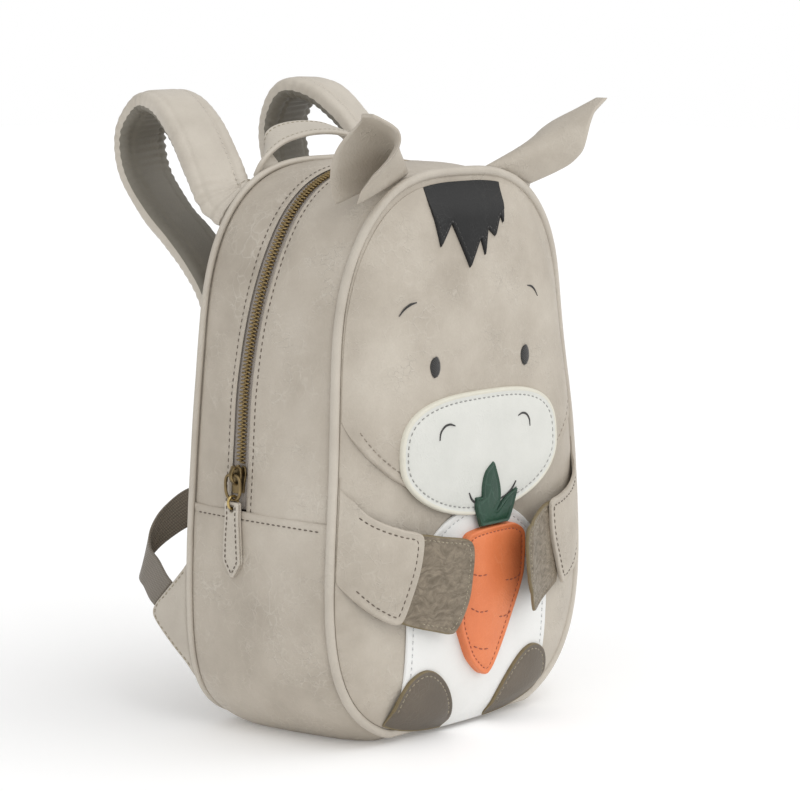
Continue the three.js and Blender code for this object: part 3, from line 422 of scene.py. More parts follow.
def metal(name, dark, bright, rough=(0.28, 0.5)):
    """Antique brass: dark in the hollows, rubbed bright on the edges."""
    s = Shader(name)
    tarnish = s.noise(260, 4, 0.65)
    edge = s.node("ShaderNodeNewGeometry", "Pointiness")
    worn = s.range(edge, 0.5, 0.58)
    amount = s.plus(s.range(tarnish, 0.45, 0.75, 0.0, 0.5), worn, clamp=True)
    return s.finish(
        s.mix(amount, dark, bright), s.range(tarnish, 0.3, 0.7, rough[0], rough[1]),
        s.bump(s.noise(900, 3), 0.03), Metallic=1.0,
    )


def plastic(name, colour):
    """Moulded plastic with a fine matt texture."""
    s = Shader(name)
    light = tuple(min(1, c * 1.3) for c in colour)
    return s.finish(
        s.mix(s.noise(80, 4), colour, light), s.range(s.noise(400, 3), 0.3, 0.7, 0.42, 0.55),
        s.bump(s.noise(2200, 2), 0.04),
    )


def painted_edge(name, tones):
    """Edge paint on cut leather: even colour, slightly uneven surface."""
    s = Shader(name)
    return s.finish(
        s.mix(s.noise(140, 4), tones[0], tones[1]), s.range(s.noise(300, 3), 0.3, 0.7, 0.45, 0.6),
        s.bump(s.noise(500, 3), 0.12),
    )


TAUPE_TONES = [(0.36, 0.315, 0.257), (0.45, 0.402, 0.336), (0.53, 0.482, 0.41), (0.62, 0.578, 0.505)]
LOOKS = {
    "taupe": leather("taupe_leather", TAUPE_TONES),
    "band": leather(
        "band_leather",
        [(0.365, 0.32, 0.262), (0.455, 0.405, 0.338), (0.53, 0.48, 0.41), (0.62, 0.575, 0.50)],
        veins=0.45, patch=20,
    ),
    "strap": leather(
        "strap_leather",
        [(0.43, 0.385, 0.325), (0.50, 0.455, 0.388), (0.56, 0.512, 0.442), (0.64, 0.595, 0.52)],
        veins=0.15, crease=0.1, rough=(0.4, 0.52),
    ),
    # A darker copy of the strap leather for the strap's inner side: painted shade
    "strap_shade_side": leather(
        "strap_painted_shade",
        [(0.135, 0.122, 0.095), (0.165, 0.15, 0.12), (0.20, 0.183, 0.15), (0.25, 0.23, 0.19)],
        veins=0.1, crease=0.08,
    ),
    "pale": leather(
        "pale_leather",
        [(0.58, 0.585, 0.545), (0.64, 0.64, 0.60), (0.69, 0.69, 0.65), (0.76, 0.76, 0.72)],
        veins=0.12, crease=0.08, grain=0.05,
    ),
    "white": leather(
        "belly_leather",
        [(0.72, 0.72, 0.70), (0.765, 0.765, 0.745), (0.80, 0.80, 0.785), (0.84, 0.84, 0.83)],
        veins=0.1, crease=0.06, grain=0.05,
    ),
    "cream": painted_edge("muzzle_edge", [(0.60, 0.575, 0.48), (0.69, 0.67, 0.585)]),
    "hand": wrinkled_leather(
        "hand_leather", [(0.125, 0.10, 0.068), (0.185, 0.15, 0.106), (0.275, 0.228, 0.165)],
    ),
    "foot": leather(
        "foot_leather",
        [(0.082, 0.066, 0.048), (0.108, 0.088, 0.065), (0.14, 0.115, 0.086), (0.19, 0.16, 0.125)],
        veins=0.3, crease=0.15, rough=(0.42, 0.55),
    ),
    "olive": painted_edge("olive_edge", [(0.135, 0.10, 0.045), (0.2, 0.155, 0.08)]),
    "orange": leather(
        "orange_leather",
        [(0.63, 0.165, 0.056), (0.71, 0.20, 0.073), (0.77, 0.24, 0.098), (0.82, 0.31, 0.145)],
        veins=0.25, crease=0.12, rough=(0.42, 0.55), patch=40,
    ),
    "green": leather(
        "green_leather",
        [(0.012, 0.045, 0.026), (0.02, 0.062, 0.038), (0.032, 0.085, 0.055), (0.07, 0.14, 0.10)],
        veins=0.35, crease=0.12, rough=(0.32, 0.45),
    ),
    "black": leather(
        "black_leather",
        [(0.012, 0.012, 0.012), (0.018, 0.018, 0.018), (0.027, 0.027, 0.027), (0.07, 0.07, 0.07)],
        veins=0.3, crease=0.16, rough=(0.4, 0.55), shine_level=0.25,
    ),
    "dark_thread": thread("dark_thread", (0.135, 0.105, 0.075)),
    "taupe_thread": thread("taupe_thread", (0.33, 0.28, 0.22)),
    "grey_thread": thread("grey_thread", (0.36, 0.36, 0.34)),
    "pale_thread": thread("pale_thread", (0.66, 0.61, 0.53)),
    "white_thread": thread("white_thread", (0.62, 0.63, 0.62)),
    "orange_thread": thread("orange_thread", (0.42, 0.09, 0.03)),
    "sand_thread": thread("sand_thread", (0.36, 0.31, 0.22)),
    "black_thread": thread("black_thread", (0.022, 0.02, 0.018), 0.55),
    "tape": woven(
        "zip_tape_weave", [(0.27, 0.235, 0.205), (0.37, 0.33, 0.29), (0.46, 0.415, 0.37)], 5.2, 4.2,
    ),
    "webbing": woven(
        "webbing_weave", [(0.095, 0.077, 0.056), (0.15, 0.125, 0.094), (0.23, 0.195, 0.15)], 4.5, 3.0,
    ),
    "adjuster": plastic("adjuster_plastic", (0.12, 0.10, 0.08)),
    "brass": metal("antique_brass", (0.10, 0.075, 0.035), (0.50, 0.36, 0.15)),
    "dark_brass": metal("dark_brass", (0.055, 0.042, 0.026), (0.34, 0.25, 0.12)),
    "gold": metal("rubbed_brass", (0.26, 0.18, 0.065), (0.62, 0.47, 0.20), (0.22, 0.4)),
}


# Curves and surfaces

def bell(value, middle, spread):
    return np.exp(-(((value - middle) / spread) ** 2))


def unit(vectors):
    return vectors / np.maximum(np.linalg.norm(vectors, axis=-1, keepdims=True), 1e-9)


def smooth(share):
    share = np.clip(share, 0, 1)
    return share * share * (3 - 2 * share)


def rounded(reach, radius):
    """A round edge's height share, from the distance to the edge."""
    return np.sqrt(np.clip(1 - (1 - np.clip(reach / radius, 0, 1)) ** 2, 0, 1))


def signed_power(value, power):
    return np.sign(value) * np.abs(value) ** power


def full_turn(count, shift=0):
    """Angles of a full turn at an even spacing."""
    return (np.arange(count) + shift) / count * 2 * np.pi


def section(out, side, across, up):
    """Rings of offsets, from two directions at each place and the section's two measures."""
    return out[:, None] * across[None, :, None] + side[:, None] * up[None, :, None]


def ring_edges(count, start=0):
    return [(start + i, start + (i + 1) % count) for i in range(count)]


def waist_at(z):
    return WAIST_DIP * bell(z, WAIST_AT, WAIST_SPREAD) + CHEEK_DIP * bell(z, CHEEK_AT, WAIST_SPREAD)


def rim_set_back(z):
    return RIM_SET_BACK * bell(z, RIM_SET_AT, RIM_SPREAD)


def outline_point(angle, deep):
    """The bag's outline: angle 0 is the top, and deep runs from the front seam to the back one."""
    up = np.cos(angle)
    across = np.sin(angle)
    low = SQUARENESS + (LOW_BACK_SQUARENESS - SQUARENESS) * deep
    power = 2 / np.where(up > 0, SQUARENESS, low)
    reach = np.where(up > 0, HEIGHT - WIDEST_AT + BACK_RISE * deep, WIDEST_AT)
    z = WIDEST_AT + reach * signed_power(up, power)
    half = FRONT_HALF_WIDTH + (BACK_HALF_WIDTH - FRONT_HALF_WIDTH) * deep - waist_at(z)
    return signed_power(across, power) * half, z


def skin(angle, y, offset, floor=-1e9, swell=SIDE_SWELL):
    """A point on the side band, moved out from the outline and kept above the floor."""
    angle, y, offset = np.broadcast_arrays(np.asarray(angle, float), y, offset)
    step = 0.002
    deep = np.clip(y / DEPTH + 0.5, 0, 1)
    x, z = outline_point(angle, deep)
    x1, z1 = outline_point(angle + step, deep)
    x0, z0 = outline_point(angle - step, deep)
    along = unit(np.stack([x1 - x0, z1 - z0], -1))
    low = np.clip(-np.cos(angle), 0, 1)
    full = 1 - np.abs(y / (DEPTH / 2)) ** (2 + 3 * low)
    swelling = (swell + (BOTTOM_SWELL - swell) * low) if swell else 0
    out = offset + swelling * full
    height = np.maximum(z + along[..., 0] * out, floor)
    return np.stack([x - along[..., 1] * out, y + (1 - deep) * rim_set_back(height), height], -1)


def angle_at(z):
    return math.acos(((z - WIDEST_AT) / (HEIGHT - WIDEST_AT)) ** (SQUARENESS / 2))


def stations(start, end, count):
    """Angles spaced evenly along the outline."""
    angles = np.linspace(start, end, 4001)
    places = skin(angles, 0, 0, 0, 0)
    lengths = arc_lengths(places)
    return np.interp(np.linspace(0, lengths[-1], count), lengths, angles)


def panel_share(x, z):
    reach = np.where(z > WIDEST_AT, HEIGHT - WIDEST_AT, WIDEST_AT)
    across = np.abs(x) / (FRONT_HALF_WIDTH - waist_at(z))
    up = np.abs(z - WIDEST_AT) / reach
    return (across ** SQUARENESS + up ** SQUARENESS) ** (1 / SQUARENESS)


def dome_y(x, z):
    share = np.clip(panel_share(x, z), 0, 1)
    return -DEPTH / 2 + rim_set_back(z) * share ** 3 - DOME * (1 - share ** DOME_FULLNESS)


def dome_normal(x, z):
    step = 0.5
    slope_x = (dome_y(x + step, z) - dome_y(x - step, z)) / (2 * step)
    slope_z = (dome_y(x, z + step) - dome_y(x, z - step)) / (2 * step)
    return unit(np.stack([slope_x, -np.ones_like(slope_x), slope_z], -1))


def catmull(points, shares):
    """A smooth curve through the points, read at shares of its length in knots."""
    points = np.asarray(points, float)
    padded = np.vstack([2 * points[0] - points[1], points, 2 * points[-1] - points[-2]])
    where = np.clip(np.asarray(shares, float), 0, 1) * (len(points) - 1)
    i = np.minimum(where.astype(int), len(points) - 2)
    t = (where - i)[:, None]
    p0, p1, p2, p3 = (padded[i + k] for k in range(4))
    step = [np.maximum(np.linalg.norm(b - a, axis=1, keepdims=True) ** 0.5, 1e-4)
            for a, b in ((p0, p1), (p1, p2), (p2, p3))]
    leave = (p1 - p0) / step[0] - (p2 - p0) / (step[0] + step[1]) + (p2 - p1) / step[1]
    arrive = (p2 - p1) / step[1] - (p3 - p1) / (step[1] + step[2]) + (p3 - p2) / step[2]
    leave *= step[1]
    arrive *= step[1]
    return (p1 * (2 * t ** 3 - 3 * t ** 2 + 1) + leave * (t ** 3 - 2 * t ** 2 + t)
            + p2 * (-2 * t ** 3 + 3 * t ** 2) + arrive * (t ** 3 - t ** 2))


def arc_lengths(points):
    steps = np.linalg.norm(np.diff(points, axis=0), axis=1)
    return np.concatenate([[0], np.cumsum(steps)])


def read_along(places, lengths, values):
    """The values at places along a line, column by column."""
    return np.stack([np.interp(places, lengths, values[:, k]) for k in range(values.shape[1])], -1)


def resample(points, spacing):
    """Points at an even spacing along a loop."""
    points = np.asarray(points, float)
    points = np.vstack([points, points[:1]])
    lengths = arc_lengths(points)
    count = max(int(round(lengths[-1] / spacing)), 2)
    return read_along(np.linspace(0, lengths[-1], count + 1), lengths, points)[:-1]


def outline_shape(rows, place, side=1, steps=12):
    """A closed outline through rows of across, up and corner."""
    knots = np.array([
        (side * (place["x"] + r[0] * place["width"]), place["z"] + r[1] * place["height"]) for r in rows
    ])
    corner = [len(r) > 2 for r in rows]
    count = len(knots)
    points = []
    for i in range(count):
        j = (i + 1) % count
        leave = knots[j] - knots[i] if corner[i] else (knots[j] - knots[i - 1]) / 2
        arrive = knots[j] - knots[i] if corner[j] else (knots[(j + 1) % count] - knots[i]) / 2
        t = (np.arange(steps) / steps)[:, None]
        points.append(
            knots[i] * (2 * t ** 3 - 3 * t ** 2 + 1) + leave * (t ** 3 - 2 * t ** 2 + t)
            + knots[j] * (-2 * t ** 3 + 3 * t ** 2) + arrive * (t ** 3 - t ** 2)
        )
    return np.vstack(points)


def ripple(points, scale, depth, seed=0):
    """Soft unevenness in a surface, from smooth noise."""
    shift = Vector((seed * 7.3, seed * 3.1, seed * 5.7))
    flat = points.reshape(-1, 3) / scale
    values = np.array([noise.noise(Vector(p) + shift) for p in flat])
    return (values * depth).reshape(points.shape[:-1])


# Meshes

SHARP_FROM = 50


def volume(points, faces):
    """Six times the volume inside the faces, below zero where they face inwards."""
    corners = np.array([(f[0], f[k], f[k + 1]) for f in faces for k in range(1, len(f) - 1)])
    a, b, c = (points[corners[:, k]] for k in range(3))
    return (np.cross(a, b) * c).sum()


def add_mesh(name, points, faces, look, nodes=(), body="bag", slot=None, looks=None, marks=None):
    """A piece of the bag from points in millimetres. marks are values for each point."""
    points = np.asarray(points, float)
    used_points = np.unique(np.concatenate([np.asarray(f) for f in faces]))
    renamed = np.full(len(points), -1)
    renamed[used_points] = np.arange(len(used_points))
    points = points[used_points]
    marks = {key: np.asarray(values)[used_points] for key, values in (marks or {}).items()}
    faces = [[int(renamed[k]) for k in f] for f in faces]
    if volume(points, faces) < 0:
        faces = [f[::-1] for f in faces]
    mesh = bpy.data.meshes.new(name)
    mesh.from_pydata((points * MM).tolist(), [], faces)
    mesh.validate()
    for used in [look, *(looks or [])]:
        mesh.materials.append(LOOKS[used])
    for key, values in marks.items():
        mesh.attributes.new(key, "FLOAT", "POINT").data.foreach_set("value", np.asarray(values, np.float32))
    mesh.shade_smooth()
    mesh.set_sharp_from_angle(angle=math.radians(SHARP_FROM))
    piece = bpy.data.objects.new(name, mesh)
    bpy.context.scene.collection.objects.link(piece)
    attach(piece, body)
    if nodes:
        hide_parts(*nodes)
    return piece


def grid_faces(rows, columns, start=0, flip=False):
    faces = []
    for i in range(rows - 1):
        near = start + i * columns
        far = near + columns
        for j in range(columns - 1):
            quad = (near + j, far + j, far + j + 1, near + j + 1)
            faces.append(quad[::-1] if flip else quad)
    return faces


def grid_normals(grid):
    return unit(np.cross(np.gradient(grid, axis=0), np.gradient(grid, axis=1)))


def edge_reach(grid, sides=(1, 1, 1, 1)):
    """Distance of each point of a grid to its sides: first and last row, first and last column."""
    down = np.linalg.norm(np.diff(grid, axis=0), axis=2)
    down = np.vstack([np.zeros((1, grid.shape[1])), np.cumsum(down, axis=0)])
    over = np.linalg.norm(np.diff(grid, axis=1), axis=2)
    over = np.hstack([np.zeros((grid.shape[0], 1)), np.cumsum(over, axis=1)])
    ways = [down, down[-1:] - down, over, over[:, -1:] - over]
    return np.min([w if on else np.full_like(w, 1e3) for w, on in zip(ways, sides)], axis=0)


def disc_faces(rings, count, half, flip=False):
    """Faces of a disc with two sides: rings from the middle out, and the middle point last."""
    faces = []
    for i in range(rings - 1):
        for j in range(count):
            k = (j + 1) % count
            quad = (i * count + j, i * count + k, (i + 1) * count + k, (i + 1) * count + j)
            if flip:
                quad = (quad[0], *quad[:0:-1])
            faces += [quad, tuple(half + q for q in quad[::-1])]
    for j in range(count):
        k = (j + 1) % count
        a, b = (rings - 1) * count + j, (rings - 1) * count + k
        if flip:
            faces += [(half - 1, j, k), (2 * half - 1, half + k, half + j), (a, half + a, half + b, b)]
        else:
            faces += [(half - 1, k, j), (2 * half - 1, half + j, half + k), (a, b, half + b, half + a)]
    return faces


def sheet(name, grid, thick, look, nodes=(), relief=0.0, **kwargs):
    """A piece of even thickness around a grid of points, and its normals. relief raises its first side."""
    radius = thick / 2
    reach = edge_reach(grid)
    normals = grid_normals(grid)
    half = radius * np.maximum(rounded(reach, radius), 0.08)[..., None]
    raised = (relief * np.clip(reach / radius, 0, 1))[..., None]
    front = grid + normals * (half + raised)
    back = grid - normals * half
    rows, columns = grid.shape[:2]
    points = np.vstack([front.reshape(-1, 3), back.reshape(-1, 3)])
    start = rows * columns
    faces = grid_faces(rows, columns) + grid_faces(rows, columns, start, True)
    ends = [(i * columns + column, (i + 1) * columns + column, turn)
            for i in range(rows - 1) for column, turn in ((0, 1), (columns - 1, 0))]
    ends += [(row * columns + j, row * columns + j + 1, turn)
             for j in range(columns - 1) for row, turn in ((0, 0), (rows - 1, 1))]
    for a, b, turn in ends:
        quad = (a, start + a, start + b, b)
        faces.append(quad if turn else quad[::-1])
    return add_mesh(name, points, faces, look, nodes, **kwargs), normals


def tube(name, rings, look, nodes=(), closed=False, **kwargs):
    """A solid through rings of points."""
    rings = np.asarray(rings, float)
    count, sides = rings.shape[:2]
    faces = []
    for i in range(count if closed else count - 1):
        near, far = i * sides, (i + 1) % count * sides
        faces += [(near + j, near + k, far + k, far + j) for j, k in ring_edges(sides)]
    if not closed:
        faces.append(tuple(range(sides))[::-1])
        faces.append(tuple(range((count - 1) * sides, count * sides)))
    return add_mesh(name, rings.reshape(-1, 3), faces, look, nodes, **kwargs)


def ahead_on_loop(path):
    return unit(np.roll(path, -1, 0) - np.roll(path, 1, 0))


def round_bar(name, path, radius, look, nodes, sides=12, **kwargs):
    """A round wire along a closed path."""
    tangent = ahead_on_loop(path)
    out = unit(path - path.mean(0))
    out = unit(out - tangent * (out * tangent).sum(1, keepdims=True))
    turn = full_turn(sides)
    ring = section(out, np.cross(tangent, out), np.cos(turn), np.sin(turn)) * radius
    return tube(name, path[:, None] + ring, look, nodes, True, **kwargs)


THREAD_STEPS = np.array([-1, -0.86, -0.45, 0, 0.45, 0.86, 1])
THREAD_SIDES = 6


def threads(name, starts, ends, normals, radius, look, bow=0.5, sink=0.25, **kwargs):
    """Short lengths of thread that rise from the surface at one end and sink in at the other."""
    starts, ends, normals = (np.asarray(a, float) for a in (starts, ends, normals))
    along = ends - starts
    length = np.linalg.norm(along, axis=1, keepdims=True)
    along = along / np.maximum(length, 1e-6)
    side = unit(np.cross(along, normals))
    up = np.cross(side, along)
    turn = full_turn(THREAD_SIDES)
    thick = radius * np.sqrt(np.clip(1 - THREAD_STEPS ** 4, 0.02, 1))
    rise = radius * (bow * (1 - THREAD_STEPS ** 2) - sink)
    middle = (starts + ends) / 2
    points = (
        middle[:, None, None]
        + along[:, None, None] * (THREAD_STEPS[None, :, None, None] * length[:, None, None] / 2)
        + side[:, None, None] * (thick[:, None] * np.cos(turn)[None])[None, :, :, None]
        + up[:, None, None] * (rise[:, None] + 0.8 * thick[:, None] * np.sin(turn)[None])[None, :, :, None]
    )
    steps = len(THREAD_STEPS)
    size = steps * THREAD_SIDES
    pattern = [
        (near + j, near + k, near + THREAD_SIDES + k, near + THREAD_SIDES + j)
        for near in range(0, size - THREAD_SIDES, THREAD_SIDES) for j, k in ring_edges(THREAD_SIDES)
    ]
    pattern += [tuple(range(THREAD_SIDES))[::-1], tuple(range(size - THREAD_SIDES, size))]
    faces = [tuple(k + n * size for k in f) for n in range(len(starts)) for f in pattern]
    return add_mesh(name, points.reshape(-1, 3), faces, look, **kwargs)


def stitch_rows(path, normals, length, gap):
    """Starts, ends and normals of the stitches along one line."""
    lengths = arc_lengths(path)
    count = int((lengths[-1] - gap) / (length + gap))
    if count < 1:
        return np.zeros((0, 3)), np.zeros((0, 3)), np.zeros((0, 3))
    pitch = lengths[-1] / count
    begin = np.arange(count) * pitch + gap / 2
    finish = begin + pitch - gap
    middle = read_along((begin + finish) / 2, lengths, normals)
    return read_along(begin, lengths, path), read_along(finish, lengths, path), unit(middle)


def stitches(name, lines, look, length=2.5, gap=1.15, radius=THREAD_RADIUS, **kwargs):
    """Rows of stitches along lines, each a path with its normals."""
    rows = [stitch_rows(np.asarray(p), np.asarray(n), length, gap) for p, n in lines]
    starts, ends, normals = (np.vstack([row[k] for row in rows]) for k in range(3))
    return threads(name, starts, ends, normals, radius, look, **kwargs)


# Layers on the front panel

# Spacing along an edge, its inner rings, where the net starts and how near its points may lie
EDGE_SPACING = 0.9
EDGE_RINGS = (0.35, 0.8, 1.4)
NET_FROM_EDGE = 1.9
NEAREST = 0.33
# No sewn line past this share of the panel
SEWN_UP_TO = 0.905
ROW_HEIGHT = 0.866


def loop_reach(points, loop):
    """Distance from each point to a closed line, in the flat."""
    a = loop
    d = np.roll(loop, -1, 0) - a
    square = np.maximum((d ** 2).sum(1), 1e-9)
    made = np.empty(len(points))
    for start in range(0, len(points), 1500):
        part = points[start:start + 1500, None]
        t = np.clip(((part - a) * d).sum(2) / square, 0, 1)
        made[start:start + 1500] = np.sqrt((((a + t[..., None] * d) - part) ** 2).sum(2).min(1))
    return made


def inside(points, loop):
    made = np.zeros(len(points), bool)
    x, z = points.T
    for a, b in zip(loop, np.roll(loop, -1, 0)):
        crosses = (a[1] > z) != (b[1] > z)
        if crosses.any():
            made ^= crosses & (x < (b[0] - a[0]) * (z - a[1]) / (b[1] - a[1] + 1e-12) + a[0])
    return made


def within_rim(points, share=RIM_SHARE):
    """Points outside the panel's rim move in to it."""
    made = points.copy()
    for _ in range(4):
        factor = np.minimum(1, share / np.maximum(panel_share(made[:, 0], made[:, 1]), 1e-6))
        made[:, 0] *= factor
        made[:, 1] = WIDEST_AT + (made[:, 1] - WIDEST_AT) * factor
    return made


def inset(loop, distance):
    """The loop moved inwards, without the parts that cross at its corners."""
    ahead = np.roll(loop, -1, 0) - np.roll(loop, 1, 0)
    area = (loop[:, 0] * np.roll(loop[:, 1], -1) - np.roll(loop[:, 0], -1) * loop[:, 1]).sum()
    normal = unit(np.stack([-ahead[:, 1], ahead[:, 0]], -1)) * np.sign(area)
    moved = loop + normal * distance
    return moved[loop_reach(moved, loop) > distance * 0.985]


def thin(points, spacing):
    """Drops points that lie too near an earlier one."""
    cells = {}
    kept = []
    around = [(dx, dz) for dx in (-1, 0, 1) for dz in (-1, 0, 1)]
    for i, (x, z) in enumerate(points):
        column, row = int(x // spacing), int(z // spacing)
        near = (j for dx, dz in around for j in cells.get((column + dx, row + dz), ()))
        if all((points[j][0] - x) ** 2 + (points[j][1] - z) ** 2 > spacing ** 2 for j in near):
            cells.setdefault((column, row), []).append(i)
            kept.append(i)
    return points[kept]


def net(points, edges):
    """A triangle net inside the edges: its places, its triangles and the points it comes from."""
    made = delaunay_2d_cdt([Vector(p) for p in points], edges, [], 1, 1e-6)
    return np.array([tuple(p) for p in made[0]]), np.array([tuple(f) for f in made[2]]), made[3]


class Layer:
    """A cut piece of leather laid on the front panel, with a rounded edge and its sewn line."""

    def __init__(self, outline, low, thick, stitch=None, groove=0.35, puff=0.0, bead=0.0, bead_width=1.6,
                 round_to=1.0, edge=0.9):
        self.loop = within_rim(resample(outline, EDGE_SPACING))
        self.low = low if callable(low) else (lambda x, z: np.full(np.shape(x), float(low)))
        self.thick = thick
        self.stitch = stitch
        self.groove = groove
        self.puff = puff
        self.bead = bead
        self.bead_width = bead_width
        self.round_to = round_to
        self.edge = edge

    def lift(self, x, z, reach):
        """The height of the top over the panel, from the distance to the cut edge."""
        share = panel_share(x, z)
        reach = reach + 30 * smooth((share - 0.9) / 0.05)
        made = self.low(x, z) + self.thick * (0.3 + 0.7 * rounded(reach, self.round_to))
        made = made + self.puff * smooth((reach - 1) / 14)
        if self.bead:
            made = made + self.bead * bell(reach, self.bead_width * 0.6, self.bead_width * 0.5)
            made = made - 0.5 * self.bead * bell(reach, self.bead_width * 1.5, 0.6)
        if self.stitch:
            made = made - self.groove * bell(reach, self.stitch, 0.7)
        return made * self.pressed(share)

    def pressed(self, share):
        """Every layer is pressed flat where it goes into the front seam."""
        return 1 - 0.8 * smooth((share - 0.88) / 0.09)

    def surface(self, flat, extra=0.0):
        x, z = flat[:, 0], flat[:, 1]
        reach = np.where(inside(flat, self.loop), loop_reach(flat, self.loop), 0)
        return np.stack([x, dome_y(x, z) - self.lift(x, z, reach) - extra, z], -1)

    def build(self, name, look, nodes=(), spacing=2.4, rough=0.16, side_look=None, **kwargs):
        """The piece as a closed net: its top, its base and the walls between. rough is its unevenness."""
        loop = self.loop
        rings = [inset(loop, d) for d in EDGE_RINGS]
        if self.bead:
            rings += [inset(loop, self.bead_width * share) for share in (1, 1.5, 2)]
        if self.stitch:
            rings += [resample(inset(loop, self.stitch + d), 1.1) for d in (-0.9, 0, 0.9)]
        low, high = loop.min(0), loop.max(0)
        rows = np.arange(low[1], high[1], spacing * ROW_HEIGHT)
        grid = np.array([
            (x + (k % 2) * spacing / 2, z)
            for k, z in enumerate(rows) for x in np.arange(low[0], high[0], spacing)
        ])
        grid = grid[inside(grid, loop)]
        grid = grid[loop_reach(grid, loop) > NET_FROM_EDGE]
        filled = thin(np.vstack([*rings, grid]), NEAREST)
        filled = filled[inside(filled, loop) & (loop_reach(filled, loop) > 0.25)]
        count = len(loop)
        flat, faces, origin = net(np.vstack([loop, filled]), ring_edges(count))
        x, z = flat.T
        reach = loop_reach(flat, loop)
        reach[np.array([min(olds, default=count) < count for olds in origin])] = 0
        top = np.stack([x, dome_y(x, z) - self.lift(x, z, reach), z], -1)
        if rough:
            soft = ripple(top, 26, rough, 3) + ripple(top, 9, rough * 0.4, 5)
            top[:, 1] -= soft * smooth(reach / 5)
        base = np.stack([x, dome_y(x, z) - self.low(x, z) * self.pressed(panel_share(x, z)), z], -1)
        start = len(flat)
        a, b, c = (flat[faces[:, k]] for k in range(3))
        turn = np.cross(b - a, c - a)
        wide = np.abs(turn) > 1e-9
        faces, turn = faces[wide], turn[wide]
        faces = np.where((turn > 0)[:, None], faces, faces[:, ::-1])
        all_faces = [tuple(f) for f in faces] + [tuple(start + f[::-1]) for f in faces]
        sides = {(f[k], f[(k + 1) % 3]) for f in faces.tolist() for k in range(3)}
        all_faces += [(j, i, start + i, start + j) for i, j in sorted(sides) if (j, i) not in sides]
        looks = [side_look] if side_look else []
        piece = add_mesh(name, np.vstack([top, base]), all_faces, look, nodes, looks=looks, **kwargs)
        if side_look:
            near = loop_reach(np.array([(v.co.x, v.co.z) for v in piece.data.vertices]) / MM, loop)
            near = near < self.edge
            marks = [int(all(near[k] for k in p.vertices)) for p in piece.data.polygons]
            piece.data.polygons.foreach_set("material_index", marks)
        return piece

    def line(self, distance, keep=lambda x, z: np.ones(len(x), bool), extra=0.05):
        """Paths with normals that follow the edge at a distance, where keep is true."""
        loop = resample(inset(self.loop, distance), 1.0)
        wanted = keep(loop[:, 0], loop[:, 1]) & (panel_share(loop[:, 0], loop[:, 1]) < SEWN_UP_TO)
        if wanted.all():
            runs = [np.vstack([loop, loop[:1]])]
        else:
            first = int(np.argmin(wanted))
            loop, wanted = np.roll(loop, -first, 0), np.roll(wanted, -first)
            runs = []
            current = []
            for point, on in zip(loop, wanted):
                if on:
                    current.append(point)
                elif current:
                    runs.append(np.array(current))
                    current = []
            if current:
                runs.append(np.array(current))
        made = []
        for run in runs:
            if len(run) > 4:
                soft = run.copy()
                soft[1:-1] = (run[:-2] + run[1:-1] * 2 + run[2:]) / 4
                made.append((self.surface(soft, extra), dome_normal(soft[:, 0], soft[:, 1])))
        return made


def ellipse(x, z, half, high, count=64):
    turn = full_turn(count)
    return np.stack([x + half * np.cos(turn), z + high * np.sin(turn)], -1)


def sleeve_lift(arm, x):
    side = arm["side"]
    outward = SLEEVE["x"] + 0.466 * SLEEVE["width"]
    rise = (outward - side * x) / (outward - SLEEVE["wrist"])
    curl = np.clip((SLEEVE["wrist"] - side * x) / 38, 0, 1) ** 2
    return SLEEVE["seam_lift"] + (WRIST_LIFT - SLEEVE["seam_lift"]) * rise + arm["curl"] * curl


def make_shell():
    """The domed front wall of the bag."""
    rings = 26
    turn = np.linspace(0, 2 * np.pi, 216, endpoint=False)
    rim = skin(turn, -DEPTH / 2, -(PIPING_RADIUS + GAP) + 0.6, PIPING_RADIUS + GAP + SEAM_LIFT)
    share = (np.arange(rings) / (rings - 1)) ** 0.75
    flat_x = rim[:, 0][None] * share[:, None]
    flat_z = PANEL_CENTRE + (rim[:, 2][None] - PANEL_CENTRE) * share[:, None]
    grid = np.stack([flat_x, dome_y(flat_x, flat_z), flat_z], -1)[1:]
    soft = ripple(grid, 30, 0.3, 1) + ripple(grid, 11, 0.08, 2)
    grid[..., 1] -= np.minimum(soft, 0.3)
    inner = grid + np.array([0, WALL, 0])
    middle = dome_y(0.0, float(PANEL_CENTRE))
    points = np.vstack([grid.reshape(-1, 3), [[0, middle, PANEL_CENTRE]],
                        inner.reshape(-1, 3), [[0, middle + WALL, PANEL_CENTRE]]])
    faces = disc_faces(rings - 1, grid.shape[1], len(points) // 2)
    add_mesh("front_shell", points, faces, "taupe", ["front_panel"], slot="taupe_leather")


